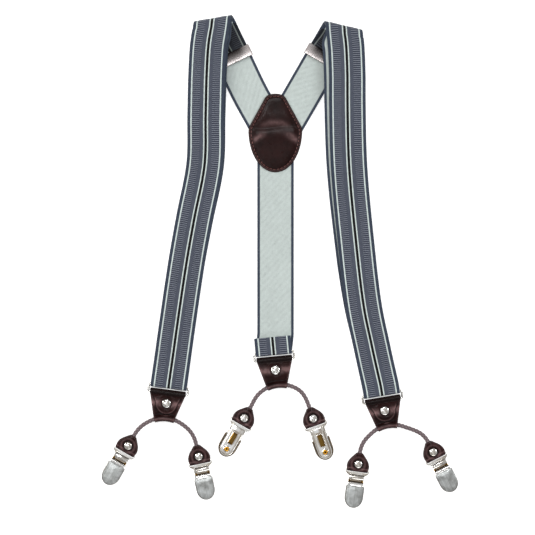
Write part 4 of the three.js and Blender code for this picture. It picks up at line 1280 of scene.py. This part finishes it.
def yokePatch(label, low, thick, faceUp):
    s = patchSettings
    outline = patchOutline()
    centre = np.array([-2.6 + planShift.x, 124.0 + planShift.y])
    creaseY = s["creaseY"] + planShift.y

    def relief(u, v, d):
        pad = s["puff"] * np.clip((d - 0.4) / 7.0, 0, 1) ** 0.6
        groove = s["groove"] * hump(d, s["stitchInset"], 0.55)
        bend = 1.6 * np.sin((u - centre[0]) / 9.0)
        crease = s["creaseDepth"] * hump(v, creaseY + bend, 2.6) * np.clip((d - 3) / 4, 0, 1)
        bulge = 0.5 * hump(v, creaseY - 8, 6) * np.clip((d - 3) / 5, 0, 1) + 0.3 * hump(v, creaseY + 9, 6)
        return pad - groove - crease + bulge * np.clip((d - 3) / 4, 0, 1)

    plain = thick - 0.35
    if faceUp:
        top, bottom = lambda u, v, d: low + plain + relief(u, v, d), level(low)
    else:
        top, bottom = level(low + thick), lambda u, v, d: low + 0.12 * hump(d, s["stitchInset"], 0.5)
    depths = [0.8, 1.2, 1.6, 1.9, 2.2, 2.45, 2.7, 2.95, 3.2, 3.5, 4.0, 4.6, 5.3]
    points, faces = shell(outline, centre, top, bottom, depths, [k / 22 for k in range(1, 22)], edge=0.35)
    piece = makeObject("yokePatch" + label, points, faces, looks["leather"])
    loop = resampled(outline, 0.8)

    # painted highlights: a band bowed along the crease in the middle, and a band lower down at the sides
    def paintedSheen(u, v, w):
        inner = np.clip((edgeDistance(np.column_stack([u, v]), loop) - 2.8) / 2.5, 0, 1)
        bow = creaseY - 1.5 - 0.018 * (u - centre[0]) ** 2
        side = np.clip((np.abs(u - centre[0]) - 7) / 9, 0, 1)
        return (0.55 * hump(v, bow + 5.5, 2.6) * (1 - side) + 0.8 * hump(v, bow - 4.0, 3.2) * side) * inner

    paintLeather(piece, loop, Matrix.Identity(4), 1.2, paintedSheen=paintedSheen)
    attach(piece, "straps")
    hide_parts("yoke_patch_" + label.lower())
    loop = ringAt(resampled(outline, 0.8), centre, s["stitchInset"])
    d = np.full(len(loop), s["stitchInset"])
    z = top(loop[:, 0], loop[:, 1], d) + 0.05 if faceUp else bottom(loop[:, 0], loop[:, 1], d) + 0.16
    line = np.column_stack([loop, z])
    stitches = sewLine("yokeStitches" + label, np.vstack([line, line[:1]]), trees["leatherStitch"],
                       {"Stitch pitch": 3.5, "Stitch length": 2.7,
                        "Thread radius": 0.30 if faceUp else 0.14}, looks["thread"])
    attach(stitches, "straps")


yokePatch("Outer", 0.0, 1.1, False)
yokePatch("Inner", 2.9, 1.1, True)
say("yoke sewn")

tabSettings = {"topHalf": 17.2, "thick": 1.2, "roll": 3.7, "rollHeight": 2.6, "rollHole": 1.3, "tube": 3.3,
               "bore": 2.35,
               "tubeAngle": 19.0, "rivetV": 9.6, "rivetRadius": 4.1, "crown": 0.3}


def tabOutline(localCentre, slope):
    s = tabSettings
    arc = lambda radius, n: arcAbout(np.array([*localCentre, 0.0]), radius, slope, s["tubeAngle"], n)[:, :2]
    upper, lower = arc(cordSettings["arcRadius"] + s["tube"],
                       2), arc(cordSettings["arcRadius"] - s["tube"], 14)
    if upper[0][0] > upper[-1][0]:
        upper, lower = upper[::-1], lower[::-1]
    side = [(-s["topHalf"], 0.0), (-s["topHalf"], 0.6 - s["roll"]), (-s["topHalf"] + 0.5, -s["roll"]),
            (s["topHalf"] - 0.5, -s["roll"]), (s["topHalf"], 0.6 - s["roll"]), (s["topHalf"], 0.0)]
    return np.array([*side, upper[-1], *lower[::-1], upper[0]])


def leatherTab(name):
    s, a = tabSettings, assemblies[name]
    matrix = axesAt(planPoint(*a["bar"], hardwareZ), a["tilt"], a["side"])
    _, arcCentre = cordPoints(name)
    # the cord's arc in the tab's own plane, where v points down
    centre2d = np.array(matrix.inverted_safe() @ Vector(arcCentre))[:2]
    towards = np.degrees(np.arctan2(tabDrop - centre2d[1], 0 - centre2d[0]))
    outline = tabOutline(centre2d, towards - 90)
    loop = resampled(outline, 0.6)

    arcRadius = cordSettings["arcRadius"]

    def body(u, v, d):
        sheet = s["thick"] + s["crown"] * np.clip((d - 0.3) / 3, 0, 1)
        out = np.hypot(u, v - s["rivetV"])
        sheet = sheet - 0.55 * hump(out, 5.0, 1.3) + 0.45 * hump(out, 8.0, 2.4) * np.clip((17 - v) / 2, 0,
                1)
        fold = s["rollHeight"] * np.sqrt(np.maximum(1 - (v / s["roll"]) ** 2, 0))
        rho = np.hypot(u - centre2d[0], v - centre2d[1])
        tubeRise = np.sqrt(np.maximum(s["tube"] ** 2 - (rho - arcRadius) ** 2, 0))
        sheet = sheet - 0.45 * hump(rho, 34.3, 0.9) - 0.3 * hump(v, 3.2, 0.8)
        beyond = (v < 0) | (rho < arcRadius)
        return np.where(beyond, np.maximum(fold * (v < 0), tubeRise * (rho < arcRadius)),
                        smoothMax(sheet, np.maximum(fold, tubeRise), 0.25))

    main = shell(outline, (0.0, 12.0), body, lambda u, v, d: -body(u, v, d), [0.7, 1.2, 1.8, 2.4],
                 [k / 26 for k in range(1, 26)], edge=0.3, spacing=0.6)
    ringHole = rod((-22, 0, 0), (22, 0, 0), s["rollHole"], 24)
    boreLine = arcAbout(np.array([*centre2d, 0.0]), arcRadius, towards - 90, s["tubeAngle"] + 8, 24)
    boreLoops = []
    angles = fullTurn(20)
    for p in boreLine:
        outDirection = (p - [*centre2d, 0]) / arcRadius
        boreLoops.append(p + s["bore"] * (np.outer(np.cos(angles), outDirection)
                                          + np.outer(np.sin(angles), [0, 0, 1.0])))
    points, faces = bored(main, ringHole, tube(boreLoops))
    flapOutline = np.array([(-14.5, 2.2),
            *[(10.5 * math.cos(t), 9.7 + 10.5 * math.sin(t)) for t in np.linspace(math.pi, 0, 22)],
            (14.5, 2.2)])
    flapTop = lambda u, v, d: body(u, v, d + 5) + 0.8 * np.clip((v - 1.0) / 2.5, 0, 1) + 0.12 * hump(d,
            1.0, 0.5)
    flap = shell(flapOutline, (0.0, 9.6), flapTop, level(0.6), [0.6, 1.0, 1.5, 2.1],
                 [k / 12 for k in range(1, 12)], edge=0.3, spacing=0.7)
    piece = makeObject("leatherTab" + name, *joinParts((points, faces), flap), looks["leather"], matrix)
    fromArc = lambda u, v: np.hypot(u - centre2d[0], v - centre2d[1])
    flapEdge = lambda u, v: edgeDistance(np.column_stack([u, v]), flapOutline)
    # painted highlights: a band across at the rivet's height, a line along the rolled tube and a light rim
    # along the flap
    paintedSheen = lambda u, v, w: (1.1 * hump(v, s["rivetV"] + 0.2, 2.8)
                               * np.clip((np.hypot(u, v - s["rivetV"]) - 4.4) / 2, 0, 1)
                               + 0.9 * hump(fromArc(u, v), 29.6, 0.8)
                               + 0.6 * hump(flapEdge(u, v), 1.1, 0.4) * (w > 1.6) * (v > 5))
    # darker over the rolled top, and painted shade in the crease where the tube meets the sheet
    dark = lambda u, v, w: np.maximum(0.8 * np.clip((2.6 - v) / 1.4, 0, 1),
                                      0.8 * hump(fromArc(u, v), 33.9, 0.7))
    paintLeather(piece, loop, matrix, dark=dark, flap=flapOutline, paintedSheen=paintedSheen)
    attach(piece, "tab_" + name.lower())
    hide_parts("tab_" + name.lower())
    rivetPiece("tabRivet" + name, s["rivetRadius"], s["thick"], 1.0, s["rivetV"], matrix,
               "tab_" + name.lower(), "tab_rivet_" + name.lower())


def rivetPiece(label, radius, halfThick, flap, v, matrix, body, node):
    front, back = halfThick + flap + 0.05, -halfThick - 0.05
    dome = [(radius * math.sin(t), front + 0.28 + 0.95 * math.cos(t))
            for t in np.linspace(math.pi / 2, 0.08, 9)]
    profile = [(0, back - 0.62), (radius * 0.55, back - 0.66), (radius * 0.66, back - 0.5),
               (radius * 0.74, back - 0.66), (radius * 0.93, back - 0.55),
               (radius, back - 0.3), (radius, back), (1.2, back + 0.1), (1.2, front - 0.1),
               (radius * 0.98, front - 0.25), (radius, front + 0.05), *dome, (0, front + 1.23)]
    piece = makeObject(label, *turned(profile, v, 40), looks["nickel"], matrix)
    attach(piece, body)
    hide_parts(node)


def wireRing(name):
    a = assemblies[name]
    matrix = axesAt(planPoint(*a["bar"], hardwareZ), a["tilt"], a["side"])
    line = resampled(rounded([(-19.1, 0.0), (19.1, 0.0), (19.1, -7.2), (-19.1, -7.2)], 1.6, 6), 0.7)
    ways = np.roll(line, -1, 0) - np.roll(line, 1, 0)
    ways /= np.linalg.norm(ways, axis=1, keepdims=True)
    angles = fullTurn(18)
    seam = np.abs(line[:, 0] - 6.0) + (line[:, 1] > -3) * 50
    loops = []
    for p, t, gap in zip(line, ways, seam):
        radius = 1.1 - 0.12 * math.exp(-(gap / 0.5) ** 2)
        side = np.array([-t[1], t[0], 0.0])
        loops.append(np.array([*p, 0.0])
                     + radius * (np.outer(np.cos(angles), side) + np.outer(np.sin(angles), [0, 0, 1.0])))
    piece = makeObject("ring" + name, *tube(loops, closed=True), looks["nickel"], matrix)
    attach(piece, "straps")
    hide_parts("ring_" + name.lower())


for name in assemblies:
    wireRing(name)
    leatherTab(name)
say("rings and tabs made")

endSettings = {"fold": 1.75, "thick": 1.3, "barHole": 1.0, "sleeve": 2.9, "rivetV": -5.6,
               "rivetRadius": 3.7}


def endOutline():
    side = pathThrough([(10.0, 0.2), (10.7, -3.2), (10.2, -6.4), (8.5, -9.8), (5.7, -13.2), (3.6, -15.6)],
                       0.6)
    right = [(9.9, 1.75), (10.0, 1.2), *side, (2.9, -16.4)]
    return np.array([*right, *[(-u, v) for u, v in reversed(right)]])


def leatherEnd():
    s = endSettings
    outline = endOutline()

    def body(u, v, d, back):
        sheet = s["thick"] - 0.1 + 0.35 * np.clip((d - 0.2) / 2.2, 0, 1)
        out = np.hypot(u, v - s["rivetV"])
        sheet = sheet - 0.4 * hump(out, 4.6,
                1.0) + (0.28 * hump(d, 0.9, 0.4) - 0.15 * hump(d, 1.9, 0.5) if back else 0.0)
        fold = np.sqrt(np.maximum(s["fold"] ** 2 - v ** 2, 0))
        radius = np.interp(v, [-12.2, -9.4], [s["sleeve"], 1.0])
        ridge = np.sqrt(np.maximum(radius ** 2 - u ** 2, 0)) * (v < -9.2)
        return np.where(v > 0, fold, smoothMax(sheet, np.maximum(fold, ridge), 0.3))

    top = lambda u, v, d: body(u, v, d, False)
    bottom = lambda u, v, d: -body(u, v, d, True)
    main = shell(outline, (0.0, -6.5), top, bottom, [0.6, 0.9, 1.3, 1.7, 2.2],
                 [k / 18 for k in range(1, 18)], edge=0.3, spacing=0.55)
    return bored(main, rod((-14, 0, 0), (14, 0, 0), s["barHole"], 20))


# ---------- clips ----------

clipShape = {"pinV": 12.9, "pinW": 0.8, "backLow": -2.6, "backHigh": -1.8, "eyeletV": 28.3}


def mirrored(rightSide):
    return [*rightSide, *[(-u, v) for u, v in reversed(rightSide)]]


def roundedTab(half, startV, tipV, steps=22):
    return [(half, startV), *[(half * math.cos(t), tipV - half + half * math.sin(t))
                              for t in np.linspace(0, math.pi, steps)], (-half, startV)]


def clipBase():
    c = clipShape
    loopSide = [(10.6, -0.5), (11.2, 0.2), (11.2, 2.6), (9.6, 4.2), (7.8, 5.2), (6.6, 7.0)]
    outline = rounded(mirrored(loopSide), 0.8)
    sheet = bored(flatPlate(outline, -0.6, 0.6, 0.28, (0.0, 3.2)),
                  flatPlate(mirrored([(10.3, 0.3), (10.3, 2.3)]), -2, 2, 0.05, (0.0, 1.3)))
    bridge = rounded([(4.4, -2.6), (9.5, -2.6), (9.5, 1.9), (9.1, 2.6), (8.0, 3.1), (6.6, 3.2), (5.4, 2.7),
                      (4.4, 1.4)], 0.7)
    tongueLift = level(c["backHigh"])
    tongueLow = lambda u, v, d: c["backLow"] + 0.14 * hump(d, 0.55, 0.35)
    tongue = shell(roundedTab(6.6, 6.0, 34.6), (0.0, 24.0), tongueLift, tongueLow, [0.5, 0.8, 1.2],
                   [0.3, 0.6, 0.85], edge=0.25)
    eyeHole = rod((0, c["eyeletV"], -6), (0, c["eyeletV"], 0), 1.5, 20)
    tongue = bored(tongue, eyeHole)
    low = c["backLow"] - 0.35
    panelFrame = bored(flatPlate(rounded([(-2.9, 10.2), (2.9, 10.2), (2.9, 23.1), (-2.9, 23.1)], 0.6), low,
                                 c["backLow"] + 0.2, 0.16),
                       flatPlate(rounded([(-2.2, 10.9), (2.2, 10.9), (2.2, 22.4), (-2.2, 22.4)], 0.4),
                                 low - 1, c["backLow"] - 0.08, 0.05))
    panel = flatPlate([(-2.22, 10.88), (2.22, 10.88), (2.22, 22.42), (-2.22, 22.42)], c["backLow"] - 0.12,
                      c["backLow"] + 0.1, 0.05, spacing=0.5)
    seatProfile = [(1.5, low - 0.02), (3.3, low - 0.05), (3.6, low + 0.12), (3.6, c["backLow"] + 0.2),
                   (1.5, c["backLow"] + 0.2)]
    foot = [(11.5, -0.4), (10.2, -0.8), (9.6, -2.6), (15.6, -2.6), (15.6, -0.8), (14.4, 0.2)]
    lug = [(c["pinV"] + 1.4 * math.cos(t), c["pinW"] + 1.4 * math.sin(t))
           for t in np.radians(np.linspace(-20, 195, 14))]
    ears = []
    for side in (-1, 1):
        wall = sweptBar([*foot, *lug], 0.35, 0.1, side * 6.85)
        ears.append(bored(wall, rod((side * 6.85 - 3, c["pinV"], c["pinW"]),
                                    (side * 6.85 + 3, c["pinV"], c["pinW"]), 0.9, 18)))
    return joinParts(sheet, rod((-10.7, 0, 0), (10.7, 0, 0), 0.8),
                     sweptBar(resampled(bridge, 0.5), 7.35, 0.35), tongue,
                     panelFrame, panel, turned(seatProfile, c["eyeletV"], 36), *ears)


def coverOutline():
    leaf = [(8.8 * math.cos(t), 26.0 + 10.3 * math.sin(t)) for t in np.linspace(0, math.pi, 30)]
    return np.array([(7.5, 12.2), (7.5, 14.4), (8.4, 15.0), (8.8, 16.2), *leaf, (-8.8, 16.2), (-8.4, 15.0),
                     (-7.5, 14.4), (-7.5, 12.2)])


def clipCover():
    c = clipShape
    low, high = 2.3, 3.2

    def crown(u, v):
        return 0.75 * (1 - (u / 9.2) ** 2) * np.clip((v - 15.2) / 3.5, 0, 1) * np.clip((37.5 - v) / 7, 0,
                1) ** 0.5

    def top(u, v, d):
        rim = 0.32 * hump(v, 13.3, 0.9) - 0.3 * hump(v, 15.3, 0.55)
        return high + crown(u, v) + rim - 0.25 * np.clip(1 - d / 1.4, 0, 1) ** 2

    bottom = lambda u, v, d: low + crown(u, v) * 0.7 * np.clip((d - 0.4) / 1.5, 0, 1)
    depths = [0.5, 0.9, 1.4, 2.0]
    leaf = shell(coverOutline(), (0.0, 24.5), top, bottom, depths, [k / 20 for k in range(1, 20)],
                 edge=0.28, spacing=0.6)
    knuckle = sweptBar([(c["pinV"] - 0.9, c["pinW"]), (c["pinV"] + 1.5, c["pinW"]),
                        (c["pinV"] + 1.8, low + 0.3), (c["pinV"] - 0.4, low + 0.3)], 6.1, 0.1)
    barrel = sweptBar(circle(c["pinV"], c["pinW"], 1.5, 24), 6.1, 0.15)
    jaw = [(27.2, low + 0.2), (33.2, low + 0.2), (33.2, 0.4), (32.4, -0.5), (31.4, 0.2), (30.4, -0.5),
           (29.4, 0.2), (28.4, -0.5), (27.2, 0.6)]
    return joinParts(leaf, knuckle, barrel,
            rod((-7.6, c["pinV"], c["pinW"]), (7.6, c["pinV"], c["pinW"]), 0.7), sweptBar(jaw, 5.4, 0.15))


def clipPad():
    c = clipShape
    outline = rounded([(-4.9, 26.2), (4.9, 26.2), (4.9, 30.9), (2.4, 33.4), (-2.4, 33.4), (-4.9, 30.9)],
                      0.8)
    ribs = lambda u, v, d: -0.92 + 0.12 * np.cos(v * 2 * math.pi / 1.2) * np.clip(d / 0.6, 0, 1)
    pad = shell(resampled(outline, 0.5), (0.0, 29.4), ribs, level(-1.5), [0.4, 0.8],
                [k / 12 for k in range(1, 12)], edge=0.15, spacing=0.5)
    return bored(pad, rod((0, c["eyeletV"], -6), (0, c["eyeletV"], 3), 1.45, 20))


def clipEyelet():
    out = clipShape["backLow"] - 0.45
    lip = [(1.6 + 0.8 * math.cos(t), out - 0.18 + 0.42 * math.sin(t))
           for t in np.linspace(-math.pi, 0.1, 12)]
    return turned([*lip, (2.35, out), (1.25, out + 0.05), (1.25, -1.2), (0.8, -1.2)], clipShape["eyeletV"],
                  36)


def paintClip(piece, matrix, kind):
    """where the plating is polished bright, dark gold over the panel and as painted reflections, and
    painted shade along the cover's rim
    """
    local = placesIn(piece, matrix)
    u, v, w = local.T
    if kind == "cover":
        rim = edgeDistance(local[:, :2], coverOutline())
        # cover: painted dark gold reflection underneath and at the rim, and painted shade along the rim
        values = {"polish": np.clip((15.1 - v) / 0.3, 0, 1) * (w > 1.9), "streak": u,
                  "goldAndPaintedReflection": np.where(w < 2.5, 0.75, 0.3 * hump(rim, 0.0, 0.7) * (v > 15.5)),
                  "dim": 0.5 * hump(rim, 0.0, 0.9) * (v > 15.5)}
    else:
        # base: dark gold over the panel, and painted reflection in the gap under the cover and along the
        # tongue's edge
        panel = (np.abs(u) < 2.3) & (v > 10.8) & (v < 22.5) & (w < -2.3)
        gap = (v > 9.4) & (v < 16) & (w > -2.2)
        rim = edgeDistance(local[:, :2], np.array(roundedTab(6.6, 6.0, 34.6)))
        values = {"goldAndPaintedReflection": np.where(panel | gap, 1.0, 0.5 * hump(rim, 0.9, 0.35) * (w < -2.3) * (v > 7)),
                  "streak": u}
    storeOn(piece.data, values)


def clipSets():
    made = {"leatherEnd": leatherEnd(), "clipBase": clipBase(), "clipCover": clipCover(),
            "clipPad": clipPad(), "clipEyelet": clipEyelet()}
    finish = {"leatherEnd": ("leather", "leather", "leather_end_", "cord_"),
              "clipBase": ("nickel", "nickel", "clip_base_", "clip_"),
              "clipCover": ("satin", "satin", "clip_lever_", "clip_"),
              "clipPad": ("grip", "grip", "clip_pad_", "clip_"),
              "clipEyelet": ("brass", "brass", "clip_eyelet_", "clip_")}
    outline = resampled(endOutline(), 0.55)
    for name, a in assemblies.items():
        for key, ((x, y), lean) in a["ends"].items():
            origin = planPoint(x, y, hardwareZ) + downward(lean) * (-cordSettings["mouth"]
                    - cordSettings["seatGap"])
            matrix = axesAt(origin, lean, a["side"])
            where = f"{name.lower()}_{key.lower()}"
            for kind, part in made.items():
                look, slot, node, body = finish[kind]
                piece = makeObject(kind + name + key, *part, looks[look], matrix)
                if kind == "leatherEnd":
                    # darker over the folded top, painted shade in the dimple round the rivet, and painted
                    # highlights on the ring beyond it and on a line below the fold
                    paintLeather(piece, outline, matrix, dark=lambda u, v, w: np.maximum(
                        0.8 * np.clip((v - 0.3) / 0.8, 0, 1),
                        0.6 * hump(np.hypot(u, v - endSettings["rivetV"]), 4.3, 0.7)),
                        paintedSheen=lambda u, v, w: 0.5
                        * hump(np.hypot(u, v - endSettings["rivetV"]), 6.6, 1.0) + 0.6 * hump(v, -1.4, 0.6))
                elif kind in ("clipBase", "clipCover"):
                    paintClip(piece, matrix, "cover" if kind == "clipCover" else "base")
                home = body + name.lower() if kind == "leatherEnd" else body + where + ("_cover"
                        if kind == "clipCover" else "")
                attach(piece, home)
                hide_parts(node + where)
            s = endSettings
            rivetPiece("endRivet" + name + key, s["rivetRadius"], s["thick"], 0.0, s["rivetV"], matrix,
                       "cord_" + name.lower(), "end_rivet_" + where)


clipSets()
say("clips fitted")


# ---------- adjusters ----------

adjusterShape = {"half": 19.0, "length": 10.6, "plateLow": 5.75, "plateHigh": 6.65, "bottom": 0.5,
                 "pinD": 8.6, "pinZ": 1.2,
                 "clearFrom": 15.5, "fade": 9.0, "streakPerMm": 1.6}


def adjuster(name):
    s = adjusterShape
    side = name.lower()
    along = -Vector(joints[f"adjuster_{side}_slide"]["axis"])
    pin = Vector(joints[f"adjuster_{side}_lever"]["pos_m"]) / mm
    across = along.cross(Vector((0, 0, 1)))
    matrix = Matrix((across, along, Vector((0, 0, 1)))).transposed().to_4x4()
    matrix.translation = Vector((pin.x, pin.y, 0)) - along * s["pinD"]
    lip = [(0.2 + 0.75 * math.cos(t), 6.15 + 0.75 * math.sin(t))
           for t in np.radians(np.linspace(75, 300, 16))]
    plate = sweptBar([*lip, (1.2, s["plateLow"]), (s["length"] - 0.3, s["plateLow"]),
            (s["length"], s["plateLow"] + 0.25), (s["length"], s["plateHigh"] - 0.2),
            (s["length"] - 0.3, s["plateHigh"])], s["half"], 0.3, sections=24)
    walls = []
    for k in (-1, 1):
        outline = rounded([(0.4, s["bottom"]), (s["length"], s["bottom"]),
                           (s["length"], s["plateHigh"] - 0.1), (0.4, s["plateHigh"] - 0.1)], 0.8)
        wall = sweptBar(outline, 0.55, 0.18, k * (s["half"] - 0.55))
        walls.append(bored(wall, rod((k * 22, s["pinD"], s["pinZ"]), (k * 16, s["pinD"], s["pinZ"]), 0.75,
                                     18)))
    frame = makeObject("adjusterFrame" + name, *joinParts(plate, *walls), looks["adjuster"], matrix)
    # painted reflection of the dark front strap: the plate's colour darkens towards it, and its rolled lip
    # is kept lighter with a faint painted gold tint
    inward = 1 if name == "Left" else -1
    planX = np.array([vertex.co.x for vertex in frame.data.vertices]) / mm
    shadow = np.clip((s["clearFrom"] - inward * (planX - pin.x)) / s["fade"], 0, 1)
    v = placesIn(frame, matrix)[:, 1]
    lipShine = np.clip((1.0 - v) / 0.5, 0, 1)
    fall = shadow * shadow * (3 - 2 * shadow)
    storeOn(frame.data, {"dim": fall * (1 - 0.75 * lipShine) + 0.25 * lipShine, "goldAndPaintedReflection": 0.12 * lipShine,
                         "streak": s["streakPerMm"] * v})
    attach(frame, "adjuster_" + side)
    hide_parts("adjuster_frame_" + side)
    teeth = []
    for k in range(4):
        start = 0.9 + 0.9 * k
        teeth += [(start, 1.35), (start + 0.35, 1.72)]
    profile = [(0.9, 0.65), (9.3, 0.65), (9.3, 1.75), (4.8, 1.6), *teeth[::-1]]
    lever = joinParts(sweptBar(profile, 17.3, 0.15),
                      rod((-18.95, s["pinD"], s["pinZ"]), (18.95, s["pinD"], s["pinZ"]), 0.55, 16, 0.08))
    catch = makeObject("adjusterCatch" + name, *lever, looks["adjuster"], matrix)
    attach(catch, f"adjuster_{side}_catch")
    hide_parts("adjuster_lever_" + side)


for name in straps:
    adjuster(name)
say("adjusters fitted")
